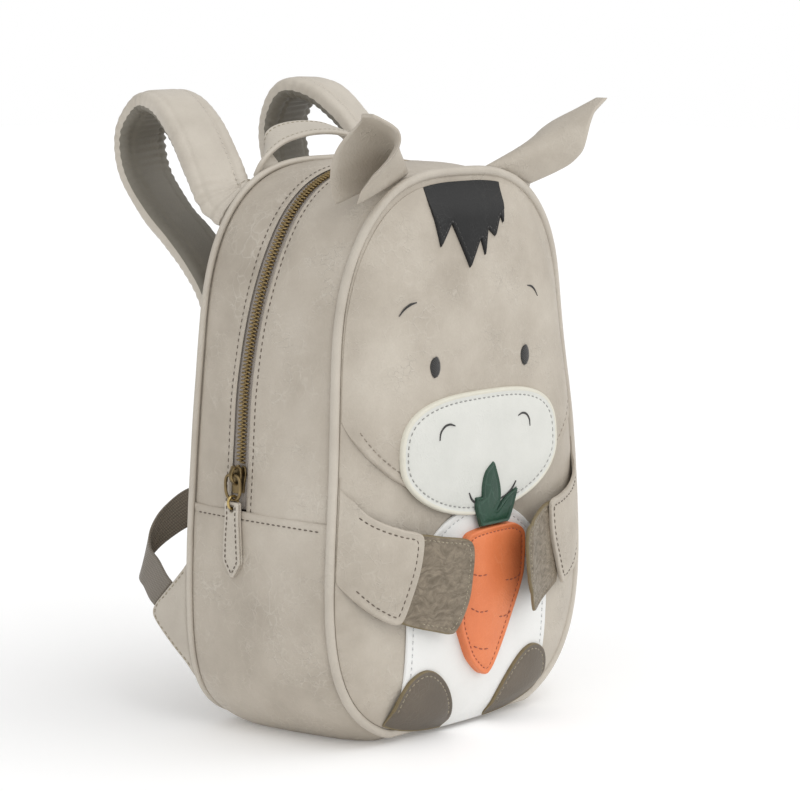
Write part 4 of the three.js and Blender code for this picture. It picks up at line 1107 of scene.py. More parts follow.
def make_front():
    """Everything that is sewn on the front panel."""
    chin_rows = [(-a, b) for a, b in CHIN_ROWS[:0:-1]] + CHIN_ROWS
    knots = np.array([(CHIN["x"] + a * CHIN["width"], CHIN["z"] + b * CHIN["height"]) for a, b in chin_rows])
    edge = catmull(knots, np.linspace(0, 1, 160))
    outline = np.vstack([edge, [[edge[-1, 0] + 10, 400], [edge[0, 0] - 10, 400]]])
    face = Layer(outline, FIRST, WALL, stitch=5, puff=0.4, bead=0.35, bead_width=2.0)
    face.build("face", "taupe", ["face_panel"], spacing=2.8, rough=0.3, slot="taupe_leather")
    on_cheek = lambda x, z: (z < 228) & (np.abs(x) > 30)
    stitches("face_stitches", face.line(5, on_cheek), "taupe_thread", 2.6, 1.3)

    angle = np.linspace(0, 2 * np.pi, 200, endpoint=False)
    up, across = np.sin(angle), np.cos(angle)
    power = np.where(up > 0, MUZZLE["top_power"], MUZZLE["bottom_power"])
    high = np.where(up > 0, MUZZLE["up"], MUZZLE["down"])
    outline = np.stack([
        MUZZLE["half"] * signed_power(across, 2 / power), MUZZLE["z"] + high * signed_power(up, 2 / power),
    ], -1)
    muzzle = Layer(outline, SECOND, WALL, stitch=4.6, puff=1.3, bead=0.5, bead_width=2.3, edge=2.6)
    muzzle.build("muzzle_pad", "pale", ["muzzle"], side_look="cream", slot="pale_leather")
    stitches("muzzle_stitches", muzzle.line(4.6), "grey_thread", 2.5, 1.4)

    belly_outline = np.vstack([
        ellipse(0, BELLY["z"], BELLY["half"], BELLY["up"], 120)[:61],
        [[-BELLY["half"], -20], [BELLY["half"], -20]],
    ])
    belly = Layer(belly_outline, FIRST, BELLY["thick"], stitch=4.2, puff=0.3)
    belly.build("belly_patch", "white", ["belly"], slot="pale_leather")
    stitches("belly_stitches", belly.line(4.2, lambda x, z: z > 22), "white_thread", 2.4, 1.4)

    for name, side in (("left", -1), ("right", 1)):
        foot = Layer(outline_shape(FOOT_ROWS, FOOT, side), FACE_TOP, WALL, stitch=3.2, puff=0.5, bead=0.15)
        foot.build(f"hoof_{name}", "foot", [f"foot_{name}"], side_look="olive", slot="brown_leather")
        stitches(f"hoof_stitches_{name}", foot.line(3.2, lambda x, z: z > 12), "sand_thread", 2.2, 1.2)

        make_arm(name, side)
    make_carrot()

    leaves = Layer(outline_shape(LEAF_ROWS, LEAVES), LEAVES["lift"], LEAVES["thick"], stitch=2.4,
                   groove=0.3, puff=0.5, bead=0.25, bead_width=1.2)
    leaves.build("leaf_tuft", "green", ["carrot_leaves"], spacing=1.6, slot="green_leather")
    mane = Layer(outline_shape(MANE_ROWS, MANE), SECOND, WALL, stitch=1.9, groove=0.3, puff=0.4)
    mane.build("forelock", "black", ["mane"], spacing=1.8, slot="black_leather")
    stitches("forelock_stitches", mane.line(1.9, lambda x, z: z < 316), "black_thread", 2.1, 1.0, FINE_THREAD)

    embroider(face, muzzle)


def make_arm(name, side):
    """A sleeve flap and the hand under its end. The far ones are bent in."""
    arm = ARMS[name]
    low = lambda x, z: sleeve_lift(arm, x)
    outline = outline_shape(SLEEVE_ROWS, SLEEVE, side)
    wrist = np.clip((SLEEVE["x"] + 8 - side * outline[:, 0]) / 30, 0, 1)
    outline = outline + wrist[:, None] * np.array([-side * arm["inward"], arm["up"]])
    sleeve = Layer(outline, low, WALL, stitch=4.2, puff=0.8, bead=0.35, bead_width=2.0)
    sleeve.build(f"sleeve_{name}", "taupe", [f"arm_{name}"], slot="taupe_leather")
    lines = sleeve.line(4.2, lambda x, z: np.abs(x) < 96)
    stitches(f"sleeve_stitches_{name}", lines, "dark_thread", 2.5, 1.3)
    place = {**HAND, "x": HAND["x"] - arm["inward"], "z": HAND["z"] + arm["up"]}
    hand = Layer(outline_shape(HAND_ROWS, place, side), lambda x, z: low(x, z) - HAND_BELOW_SLEEVE, WALL,
                 stitch=3.1, puff=0.5, bead=0.15)
    hand.build(f"paw_{name}", "hand", [f"hand_{name}"], side_look="olive", slot="brown_leather")
    keep = lambda x, z: side * x < SLEEVE["wrist"] - 2 - (5 if side > 0 else 0)
    stitches(f"paw_stitches_{name}", hand.line(3.1, keep), "sand_thread", 2.0, 1.0)


def make_carrot():
    """Two sheets with a sewn edge and short sewn creases across."""
    outline = outline_shape(CARROT_ROWS, CARROT)
    under = Layer(outline, *CARROT_UNDER, round_to=1.2)
    under.build("carrot_under", "orange", (), rough=0.05, slot="orange_leather")
    body = Layer(outline, *CARROT_BODY, stitch=3.4, groove=0.45, puff=1.0, bead=0.25)
    body.build("carrot_body", "orange", ["carrot"], slot="orange_leather")
    lines = body.line(3.4)
    for crease in CARROT_CREASES:
        flat = catmull(crease, np.linspace(0, 1, 14))
        lines.append((body.surface(flat, 0.05), dome_normal(flat[:, 0], flat[:, 1])))
    stitches("carrot_stitches", lines, "orange_thread", 2.2, 1.0, 0.4)


def satin(lines, layer, radius=0.5, overlap=0.75):
    """Close threads across curved lines: starts, ends and normals. A line is a path and its half widths."""
    starts, ends, normals = [], [], []
    for path, widths in lines:
        path = np.asarray(path, float)
        steps = max(int(arc_lengths(path)[-1] / (radius * 2 * overlap)), 2)
        shares = np.linspace(0, 1, steps)
        middle = catmull(path, shares)
        half = np.interp(shares, np.linspace(0, 1, len(widths)), widths)
        ahead = unit(np.gradient(middle, axis=0))
        side = np.stack([-ahead[:, 1], ahead[:, 0]], -1)
        lean = unit(side + ahead * 0.35) * half[:, None]
        starts.append(layer.surface(middle - lean, 0.12))
        ends.append(layer.surface(middle + lean, 0.12))
        normals.append(dome_normal(middle[:, 0], middle[:, 1]))
    return np.vstack(starts), np.vstack(ends), np.vstack(normals)


SATIN = {
    # name, then each line as its path and half widths
    "brow": (
        ([(-61.8, 248), (-58.5, 251.2), (-54.2, 253.6), (-49.8, 254.6)], [0.3, 0.75, 0.85, 0.4]),
        ([(53.4, 250.6), (51, 254.2), (48, 256.4), (44.3, 257.2)], [0.3, 0.75, 0.85, 0.4]),
    ),
    "nostril": (
        ([(-39, 176.6), (-38.2, 180.5), (-34.8, 183.8), (-30.6, 184.6), (-26.8, 183.5)],
         [0.35, 0.7, 0.75, 0.7, 0.35]),
        ([(38, 176.5), (37.4, 180.4), (34.6, 183.6), (31, 184.4), (27.8, 183.4)],
         [0.35, 0.7, 0.75, 0.7, 0.35]),
    ),
    "mouth": (
        ([(-14.5, 143), (-12.2, 139.4), (-8.4, 136.6), (-2, 134.8)], [0.35, 0.75, 0.8, 0.5]),
        ([(25.5, 145), (23, 141.4), (19, 138.4), (12, 136)], [0.35, 0.75, 0.8, 0.5]),
    ),
}


def embroider(face, muzzle):
    """Eyes, brows, nostrils and mouth in satin stitch."""
    for name, side in (("left", -1), ("right", 1)):
        x = side * EYE["x"]
        rows = np.linspace(-1, 1, EYE["rows"])
        half = EYE["width"] / 2 * np.sqrt(1 - (rows * 0.93) ** 2) ** 0.8
        z = EYE["z"] + rows * EYE["height"] / 2
        starts = face.surface(np.stack([x - half, z - 0.5], -1), 0.15)
        ends = face.surface(np.stack([x + half, z + 0.5], -1), 0.15)
        normals = dome_normal(np.full(EYE["rows"], x), z)
        threads(f"eye_satin_{name}", starts, ends, normals, EYE_THREAD, "black_thread", bow=0.9, sink=-0.2)
        outline = ellipse(x, EYE["z"], EYE["width"] / 2 - 0.1, EYE["height"] / 2 - 0.1)
        oval = Layer(outline, EYE_GROUND["low"], EYE_GROUND["thick"], round_to=0.5)
        oval.build(f"eye_ground_{name}", "black_thread", [f"eye_{name}"], spacing=1.4, rough=0,
                   slot="black_thread")
    for name, lines in SATIN.items():
        layer = face if name == "brow" else muzzle
        threads(f"{name}_satin", *satin(lines, layer), THREAD_RADIUS, "black_thread", bow=0.8)


# Side bands, piping, back and zip

def floor_at(y):
    return (SEAM_LIFT - WALL / 2) * np.clip((np.abs(y) / (DEPTH / 2) - 0.8) / 0.15, 0, 1)


def zip_y(z):
    return ZIP_Y_SIDE + (ZIP_Y_TOP - ZIP_Y_SIDE) * smooth((z - ZIP_TURN_LOW) / (ZIP_TURN_HIGH - ZIP_TURN_LOW))


def zip_at(angles):
    return zip_y(outline_point(angles, 0.5)[1])


def band(angles, edges, columns, out, floor=False):
    """A grid of points along the side band. The edges and out are numbers or run along it."""
    low, high = (np.broadcast_to(edge, angles.shape)[:, None] for edge in edges)
    share = np.linspace(0, 1, columns)[None]
    y = low * (1 - share) + high * share
    angle = np.repeat(angles[:, None], columns, 1)
    limit = floor_at(y) if floor else -1e9
    return skin(angle, y, np.broadcast_to(out, angle.shape), limit)


def make_upper_band():
    """The two upper strips, with the zip between them."""
    low_end = angle_at(SEAM_HEIGHT - SEAM_LAP)
    angles = stations(-low_end, low_end, 230)
    middle = zip_at(angles)
    columns = 30
    share = np.linspace(0, 1, columns)[None]
    seams = []
    for name, near, far, zip_first, node in (
        ("upper_front", BAND_FRONT, middle - ZIP_OPENING / 2, False, "gusset_front"),
        ("upper_rear", middle + ZIP_OPENING / 2, BAND_BACK, True, "gusset_rear"),
    ):
        width = np.abs(far - near)
        to_zip = (share if zip_first else 1 - share) * width[:, None]
        to_seam = width[:, None] - to_zip
        out = UPPER_OUT + 0.35 * bell(to_zip, 1.6, 1.4) - 0.45 * bell(to_zip, ZIP_STITCH_IN, 0.8)
        out = out - 0.6 * bell(to_seam, 0, 1.6) + 0.7 * smooth(to_seam / 14) * smooth(to_zip / 14)
        grid = band(angles, (near, far), columns, out)
        normals = grid_normals(grid)
        soft = ripple(grid, 30, 0.5, 8) + ripple(grid, 10, 0.16, 9)
        grid = grid + normals * (soft * smooth(to_seam / 8) * smooth(to_zip / 6))[..., None]
        outer_side(name, grid, normals, BAND_THICK, "band", [node])
        column = int(round(ZIP_STITCH_IN / float(width.mean()) * (columns - 1)))
        column = column if zip_first else columns - 1 - column
        seams.append((grid[3:-3, column] + normals[3:-3, column] * 0.1, normals[3:-3, column]))
    stitches("zip_stitches", seams, "dark_thread", 2.3, 1.5)


def make_lower_band():
    """The strip under the bottom, with a folded and sewn lap at both ends."""
    start = angle_at(SEAM_HEIGHT)
    angles = stations(start, 2 * math.pi - start, 210)
    lengths = arc_lengths(skin(angles, 0, 0, 0, 0))
    # Close rows near both ends keep the fold and the sewn line sharp
    ends = np.arange(0, 8, 0.7)
    places = np.concatenate([ends, np.linspace(8, lengths[-1] - 8, 190), lengths[-1] - ends[::-1]])
    angles = np.interp(places, lengths, angles)
    reach = np.minimum(places, lengths[-1] - places)[:, None]
    columns = 44
    y = np.linspace(BAND_FRONT, BAND_BACK, columns)[None]
    to_seam = np.minimum(y - BAND_FRONT, BAND_BACK - y)
    out = 0.25 * bell(reach, 1.8, 1.6) - 0.45 * bell(reach, 5, 0.9) - 0.6 * bell(to_seam, 0, 1.6)
    grid = band(angles, (BAND_FRONT, BAND_BACK), columns, out, True)
    normals = grid_normals(grid)
    soft = ripple(grid, 32, 0.7, 12) + ripple(grid, 12, 0.2, 13)
    under = smooth((grid[..., 2] - 8) / 20)
    grid = grid + normals * (soft * smooth(reach / 8) * smooth(to_seam / 8) * under)[..., None]
    outer_side("lower_band", grid, normals, BAND_THICK, "band", ["gusset_bottom"])
    rows = [(grid[row, 2:-2] + normals[row, 2:-2] * 0.1, normals[row, 2:-2]) for row in (7, len(places) - 8)]
    stitches("lap_stitches", rows, "dark_thread", 2.4, 1.4)


def outer_side(name, grid, normals, thick, look, nodes, **kwargs):
    """A strip whose outer side is the grid, with rounded edges and its thickness inside."""
    drop = thick * 0.45 * (1 - rounded(edge_reach(grid), thick * 0.6))
    front = grid - normals * drop[..., None]
    back = grid - normals * (thick - drop)[..., None]
    rows, columns = grid.shape[:2]
    start = rows * columns
    facing = np.cross(grid[1, 0] - grid[0, 0], grid[0, 1] - grid[0, 0]) @ normals[0, 0] > 0
    faces = grid_faces(rows, columns, 0, not facing) + grid_faces(rows, columns, start, facing)
    rim = ([(0, j) for j in range(columns)] + [(i, columns - 1) for i in range(1, rows)]
           + [(rows - 1, j) for j in range(columns - 2, -1, -1)] + [(i, 0) for i in range(rows - 2, 0, -1)])
    flat = [i * columns + j for i, j in rim]
    for a, b in zip(flat, flat[1:] + flat[:1]):
        quad = (a, b, start + b, start + a)
        faces.append(quad if facing else quad[::-1])
    return add_mesh(name, np.vstack([front.reshape(-1, 3), back.reshape(-1, 3)]), faces, look, nodes,
                    slot="taupe_leather", **kwargs)


def make_piping():
    """The rolled seams at the front and back edges."""
    for name, y, radius in (("front", -DEPTH / 2, PIPING_RADIUS), ("back", DEPTH / 2, BACK_PIPING_RADIUS)):
        angles = stations(math.pi, 3 * math.pi, 321)[:-1]
        centre = skin(angles, y, 0, SEAM_LIFT, 0)
        ahead = ahead_on_loop(centre)
        out = unit(np.cross(ahead, BACKWARDS))
        out *= np.sign((out * (centre - np.array([0, y, WIDEST_AT]))).sum(1))[:, None]
        turn = full_turn(14)
        wobble = 1 + ripple(centre, 14, 0.035, 4)[:, None]
        ring = section(out, np.cross(ahead, out), np.cos(turn), np.sin(turn))
        tube(f"piping_{name}", centre[:, None] + ring * (radius * wobble)[..., None], "strap",
             [f"{name}_piping"], True, slot="taupe_leather")


def make_back():
    """The padded back panel, flat in its middle."""
    count = 220
    rings = 22
    turn = np.linspace(0, 2 * np.pi, count, endpoint=False)
    rim = skin(turn, DEPTH / 2, -(BACK_PIPING_RADIUS + GAP) + 0.5, BACK_PIPING_RADIUS + GAP + SEAM_LIFT)
    share = np.arange(1, rings) / (rings - 1)
    x = rim[:, 0][None] * share[:, None]
    z = PANEL_CENTRE + (rim[:, 2][None] - PANEL_CENTRE) * share[:, None]
    flatten = np.clip((share[:, None] + x * 0 - BACK_FLAT_SHARE) / (1 - BACK_FLAT_SHARE), 0, 1)
    y = DEPTH / 2 + BACK_PAD * (1 - flatten ** 3)
    outer = np.stack([x, y, z], -1)
    soft = ripple(outer, 34, 0.5, 20) + ripple(outer, 12, 0.14, 21)
    outer[..., 1] -= np.clip(0.3 + soft, 0, 1.2) * (1 - flatten ** 4)
    inner = np.stack([x, np.full_like(x, DEPTH / 2 - WALL + 0.5), z], -1)
    middle = np.array([[0, DEPTH / 2 + BACK_PAD - 0.4, PANEL_CENTRE]])
    middle_in = np.array([[0, DEPTH / 2 - WALL + 0.5, PANEL_CENTRE]])
    points = np.vstack([outer.reshape(-1, 3), middle, inner.reshape(-1, 3), middle_in])
    faces = disc_faces(rings - 1, count, len(points) // 2, True)
    piece = add_mesh("back_pad", points, faces, "band", ["back_panel"], slot="taupe_leather")


def make_zip():
    """The woven tape, the teeth, the slider and what hangs from it."""
    end = angle_at(SEAM_HEIGHT + GAP)
    angles = stations(-end, end, 260)
    middle = zip_at(angles)
    columns = 24
    half = ZIP_OPENING / 2 + 6
    across = np.linspace(-1, 1, columns) * half
    grid = band(angles, (middle - half, middle + half), columns, TAPE_OUT + 0.25 * bell(across, 0, 1.2))
    along = arc_lengths(grid[:, columns // 2])
    marks = {
        "along": np.tile(np.repeat(along, columns), 2), "across": np.tile(np.tile(across, len(angles)), 2),
    }
    outer_side("zip_tape_weave", grid, grid_normals(grid), TAPE_THICK, "tape", ["zip_tape"], marks=marks)
    make_teeth()
    make_slider()


def make_teeth():
    """Teeth in turn from both sides. Each is seven-sided from its root at the tape to its rounded head."""
    top = angle_at(SLIDER["z"] + SLIDER["length"] / 2 + GAP)
    angles = np.linspace(-top, angle_at(SEAM_HEIGHT + 1.5), 3000)
    line = skin(angles, zip_at(angles), TAPE_OUT)
    lengths = arc_lengths(line)
    count = int(lengths[-1] / (TOOTH["pitch"] / 2))
    places = np.linspace(0.6, lengths[-1] - 0.6, count)
    at = read_along(places, lengths, line)
    ahead = unit(read_along(places + 0.5, lengths, line) - read_along(places - 0.5, lengths, line))
    turns = np.interp(places, lengths, angles)
    out = skin(turns, zip_at(turns), 5.0) - skin(turns, zip_at(turns), 0.0)
    out = unit(out - ahead * (out * ahead).sum(1, keepdims=True))
    side = np.cross(ahead, out)
    levels = (
        # reach from the middle of the zip and size
        (-TOOTH["reach"], 0.75), (-TOOTH["reach"] + 0.5, 1.0), (-0.4, 1.0), (0.3, 0.85), (TOOTH["lap"], 0.6),
    )
    corners = ((-1, 0), (-0.8, 0.75), (0, 1), (0.8, 0.75), (1, 0), (0.8, -0.4), (-0.8, -0.4))
    shape = np.array([
        (reach, s * TOOTH["long"] / 2 * size, t * TOOTH["thick"] * 0.5 * size)
        for reach, size in levels for s, t in corners
    ])
    hand = np.where(np.arange(count) % 2, 1.0, -1.0)
    base = at + out * (TAPE_THICK * 0.5 + 0.75)
    points = (base[:, None] + side[:, None] * (shape[None, :, :1] * hand[:, None, None])
              + ahead[:, None] * shape[None, :, 1:2] + out[:, None] * shape[None, :, 2:3])
    sides = len(corners)
    last = sides * (len(levels) - 1)
    pattern = [(near + j, near + k, near + sides + k, near + sides + j)
               for near in range(0, last, sides) for j, k in ring_edges(sides)]
    pattern += [tuple(range(sides))[::-1], tuple(range(last, last + sides))]
    faces = []
    for n in range(count):
        own = [tuple(n * len(shape) + k for k in f) for f in pattern]
        faces += [f[::-1] for f in own] if hand[n] < 0 else own
    add_mesh("zip_teeth_rows", points.reshape(-1, 3), faces, "dark_brass", ["zip_teeth"], slot="antique_brass")


def bevel(piece, width):
    changed = piece.modifiers.new("edge", "BEVEL")
    changed.width = width * MM
    changed.segments = 3
    changed.limit_method = "ANGLE"
    changed.angle_limit = math.radians(35)


def prism(name, outline, ends, y, z, nodes=()):
    """A metal plate: an outline around y and z drawn at two places along X."""
    count = len(outline)
    points = np.vstack([
        np.stack([np.full(count, x), y + outline[:, 0], z + outline[:, 1]], -1) for x in ends
    ])
    faces = [tuple(range(count))[::-1], tuple(range(count, 2 * count))]
    faces += [(i, j, count + j, count + i) for i, j in ring_edges(count)]
    return add_mesh(name, points, faces, "dark_brass", nodes, slot="antique_brass")


def make_slider():
    """The slider's body narrows to its tail, with an arch that holds the ring."""
    z = SLIDER["z"]
    y = float(zip_y(z))
    face = skin(-angle_at(z), y, SLIDER_LEVEL + SLIDER["seat"])[0] - SLIDER["thick"]
    axis = np.array([face - WIRE_RADIUS - ARCH_CLEAR, y, z + 3])
    half, long = SLIDER["width"] / 2, SLIDER["length"] / 2
    outline = np.array([
        (-half * 0.62, -long), (half * 0.62, -long), (half * 0.72, -long * 0.3), (half, long * 0.35),
        (half * 0.9, long * 0.9), (half * 0.35, long), (0, long * 0.72), (-half * 0.35, long),
        (-half * 0.9, long * 0.9), (-half, long * 0.35), (-half * 0.72, -long * 0.3),
    ])
    for part, start, end, nodes in (("top", 0.35, 1.9, ["zip_slider"]), ("base", 4.1, 5.4, ())):
        bevel(prism(f"slider_{part}", outline, (face + start, face + end), y, z, nodes), 0.45)
    prism("slider_post", ellipse(0, long * 0.45, 1.5, 2.2, 12), (face + 1.5, face + 4.5), y, z)
    top = face + 0.8
    saddle = catmull(np.array([
        (top, y, z + 7.2), (face - 1.2, y, z + 6.8), (axis[0] - 1.2, y, z + 4.6), (axis[0] - 1.6, y, z + 2.4),
        (axis[0] - 0.9, y, z + 0.2), (face - 0.6, y, z - 2.2), (top, y, z - 3),
    ]), np.linspace(0, 1, 22))
    deep = np.cross(unit(np.gradient(saddle, axis=0)), BACKWARDS)
    turn = full_turn(12)
    ring = section(BACKWARDS[None], deep, 1.4 * signed_power(np.cos(turn), 0.6),
                   0.55 * signed_power(np.sin(turn), 0.6))
    tube("slider_saddle", saddle[:, None] + ring, "dark_brass", slot="antique_brass")
    make_pull(axis)


def make_pull(axis):
    """The ring, the link and the leather tab that hang from the slider."""
    metal_part = {"body": "zip_pull", "slot": "antique_brass"}
    wide, high = RING["width"] / 2, RING["height"]
    turn = full_turn(48)
    path = np.stack([
        np.full(48, axis[0]),
        axis[1] + (wide * (0.92 + 0.08 * np.cos(turn)) * signed_power(np.sin(turn), 0.72)),
        axis[2] - high / 2 + high / 2 * signed_power(np.cos(turn), 0.72),
    ], -1)
    round_bar("ring_wire", path, WIRE_RADIUS, "dark_brass", ["pull_ring"], **metal_part)
    link_z = axis[2] - high - LINK_RADIUS + 2 * WIRE_RADIUS + GAP
    turn = np.linspace(0, 2 * np.pi, 33)[:-1]
    path = np.stack([
        axis[0] + LINK_RADIUS * np.sin(turn), np.full(32, axis[1]), link_z + LINK_RADIUS * np.cos(turn),
    ], -1)
    round_bar("link_wire", path, WIRE_RADIUS * 0.95, "gold", ["pull_link"], **metal_part)

    hole_z = link_z - LINK_RADIUS
    top = hole_z + 4
    half = PULL_TAB["width"] / 2
    length, tip = PULL_TAB["length"], PULL_TAB["tip"]
    corners = np.array([
        (-half + 1.3, top), (half - 1.3, top), (half - 1.6, top - length * 0.2),
        (half - 0.6, top - length * 0.5), (half, top - length + tip), (0.9, top - length),
        (-0.9, top - length), (-half, top - length + tip), (-half + 0.6, top - length * 0.5),
        (-half + 1.6, top - length * 0.2),
    ])
    outline = round_corners(corners, 1.6)
    bend = lambda z: 0.9 * np.sin((top - z) / length * 2.6) ** 2
    for part, near, look, nodes in (
        ("outer", -PULL_TAB["thick"] / 2, "strap", ["pull_tab"]), ("inner", 0.1, "band", ()),
    ):
        outside = lambda p: axis[0] + near - bend(p[:, 1]) * 0.6
        tab = Plate(outline, hole_z, outside, PULL_TAB["thick"] / 2 - 0.1)
        tab.build(f"tab_{part}", axis[1], look, nodes)
        if part == "outer":
            row = resample(inset(resample(outline, 0.5), TAB_STITCH_IN), 0.8)
            row = np.vstack([row, row[:1]])
            path = np.stack([outside(row) - 0.02, axis[1] + row[:, 0], row[:, 1]], -1)
            line = (path, np.tile(-SIDEWAYS, (len(path), 1)))
            stitches("tab_stitches", [line], "dark_thread", 2.0, 1.1, FINE_THREAD, body="zip_pull")


def round_corners(corners, radius, steps=5):
    """The closed outline with a curve at each corner."""
    made = []
    count = len(corners)
    for i in range(count):
        before, at, after = corners[i - 1], corners[i], corners[(i + 1) % count]
        back, on = (
            (other - at) / np.linalg.norm(other - at) * min(radius, np.linalg.norm(other - at) * 0.45)
            for other in (before, after)
        )
        for t in np.linspace(0, 1, steps):
            made.append(at + back * (1 - t) ** 2 + on * t ** 2)
    return np.array(made)


class Plate:
    """A cut piece of leather in the plane across X, with a round hole."""

    def __init__(self, outline, hole_z, outside, thick):
        self.loop = resample(outline, 0.6)
        self.hole_z = hole_z
        self.outside = outside
        self.thick = thick

    def hole(self, radius):
        turn = full_turn(20)
        return np.stack([radius * np.cos(turn), self.hole_z + radius * np.sin(turn)], -1)

    def from_hole(self, flat):
        return np.linalg.norm(flat - np.array([0, self.hole_z]), axis=1)

    def build(self, name, y, look, nodes):
        """The piece as a closed net with its edges rounded and its sewn line pressed in."""
        loop = self.loop
        low, high = loop.min(0), loop.max(0)
        columns = np.arange(low[0], high[0], 0.9)
        grid = np.array([(x, z) for z in np.arange(low[1], high[1], 0.9) for x in columns])
        rings = [resample(inset(loop, d), 0.6) for d in (0.25, 0.6, 1.1, 1.7, 2.1, 2.5)]
        filled = np.vstack([*rings, self.hole(2.4), grid])
        clear = (loop_reach(filled, loop) > 0.2) & (self.from_hole(filled) > 2.25)
        filled = thin(filled[inside(filled, loop) & clear], 0.24)
        count = len(loop)
        edges = ring_edges(count) + ring_edges(20, count)
        flat, faces, _ = net(np.vstack([loop, self.hole(TAB_HOLE), filled]), edges)
        faces = faces[self.from_hole(flat[faces].mean(1)) > 1.98]
        a, b, c = (flat[faces[:, k]] for k in range(3))
        turned = np.cross(b - a, c - a) > 0
        faces = np.where(turned[:, None], faces, faces[:, ::-1])
        to_edge = loop_reach(flat, loop)
        reach = np.minimum(to_edge, np.abs(self.from_hole(flat) - TAB_HOLE))
        drop = self.thick * 0.4 * (1 - rounded(reach, 0.7))
        outside = self.outside(flat)
        near = outside + drop + 0.28 * bell(to_edge, TAB_STITCH_IN, 0.5)
        far = outside + self.thick - drop
        points = np.vstack([np.stack([x, y + flat[:, 0], flat[:, 1]], -1) for x in (near, far)])
        start = len(flat)
        all_faces = [tuple(f[::-1]) for f in faces] + [tuple(start + f) for f in faces]
        sides = dict.fromkeys((f[i], f[(i + 1) % 3]) for f in faces for i in range(3))
        all_faces += [(i, j, start + j, start + i) for i, j in sides if (j, i) not in sides]
        add_mesh(name, points, all_faces, look, nodes, body="zip_pull", slot="taupe_leather")


# Ears, handle, straps, wings and webbing

def make_ear(name):
    """One sheet folded lengthwise: a back layer and a front layer that meet at the crease."""
    ear = EARS[name]
    side = ear["side"]
    angle = side * math.asin((EAR_ROOT["x"] / FRONT_HALF_WIDTH) ** (SQUARENESS / 2))
    root = skin(angle, EAR_ROOT["y"], EAR_ROOT["offset"])
    seamward = unit(skin(angle * 1.8, EAR_ROOT["y"], EAR_ROOT["offset"]) - root)
    tip = np.array([side * ear["tip"][0], ear["tip"][1], ear["tip"][2]], float)
    rows = np.array(EAR_ROWS, float)
    shares = np.linspace(0, 1, 60)
    table = [np.interp(shares, rows[:, 0], rows[:, k]) for k in range(1, 5)]
    kernel = np.array([1, 2, 3, 2, 1]) / 9
    for k in (0, 1):
        table[k] = np.convolve(np.pad(table[k], 2, "edge"), kernel, "valid")
    grid = []
    for i, share in enumerate(shares):
        crease = root + (tip - root) * share
        crease[2] += ear["arch"] * math.sin(math.pi * share)
        back, front, closing, roundness = (t[i] for t in table)
        edge = lambda length, way: leaf_edge(crease, seamward, length, way, closing, roundness)
        grid.append(np.vstack([
            edge(front * ear["front"], -1)[::-1], crease[None], edge(back * ear["back"], 1),
        ]))
    grid = np.array(grid)
    grid = grid + grid_normals(grid) * ripple(grid, 22, 0.35, 30 + side)[..., None]
    sheet(f"ear_leather_{name}", grid, EAR_THICK, "taupe", [f"ear_{name}"], slot="taupe_leather")


def leaf_edge(crease, seamward, length, way, closing, roundness, steps=16):
    """Points from the crease out to one layer's edge."""
    fine = 64
    step = length / fine
    at = crease.copy()
    made = []
    for k in range(fine):
        turn = closing * (1 - math.exp(-(k + 0.5) * step / roundness))
        at = at + np.array([0, way * math.cos(turn) * step, 0]) + seamward * math.sin(turn) * step
        made.append(at)
    return np.array(made)[(np.arange(1, steps + 1) * fine // steps) - 1]


def back_top(x, offset):
    angle = math.asin((abs(x) / BACK_HALF_WIDTH) ** (SQUARENESS / 2)) * (1 if x >= 0 else -1)
    return skin(angle, DEPTH / 2, offset, 0, 0)[2]


def make_handle():
    """A flat grab handle that stands up between its two ends in the back seam."""
    foot = back_top(HANDLE["x"], -1.5)
    rise = np.array([row[1] for row in HANDLE_ROWS])
    across = np.array([row[0] for row in HANDLE_ROWS])
    route = np.stack([
        across * HANDLE["x"], HANDLE["root_y"] + (HANDLE["apex_y"] - HANDLE["root_y"]) * smooth(rise),
        foot + rise * HANDLE["rise"],
    ], -1)
    widths = np.array([row[2] for row in HANDLE_ROWS], float)
    steps = 90
    shares = np.linspace(0, 1, steps)
    across = np.linspace(-0.5, 0.5, 31) * HANDLE["width"]
    wide = unit(catmull(widths, shares))
    grid = catmull(route, shares)[:, None] + wide[:, None] * across[None, :, None]
    groove = np.tile(-0.35 * bell(np.abs(across), 7.6, 0.7), (steps, 1))
    piece, normals = sheet("carry_handle", grid, HANDLE["thick"], "strap", ["handle"], groove,
                           slot="taupe_leather")
    half = HANDLE["thick"] / 2
    rows = [(grid[4:-4, c] + normals[4:-4, c] * (half - 0.3), normals[4:-4, c]) for c in (4, 26)]
    stitches("handle_stitches", rows, "sand_thread", 2.5, 1.3)


def strap_place(name, back, up, across):
    loop = STRAP_LOOPS[name]
    return np.array([
        loop["side"] * (STRAP["x"] + (STRAP_ROOT["x"] - STRAP["x"]) * across),
        loop["root_y"] + back * loop["back"],
        STRAP_ROOT["z"] + up * (loop["rise"] if up > 0 else 1) * STRAP["drop"],
    ])


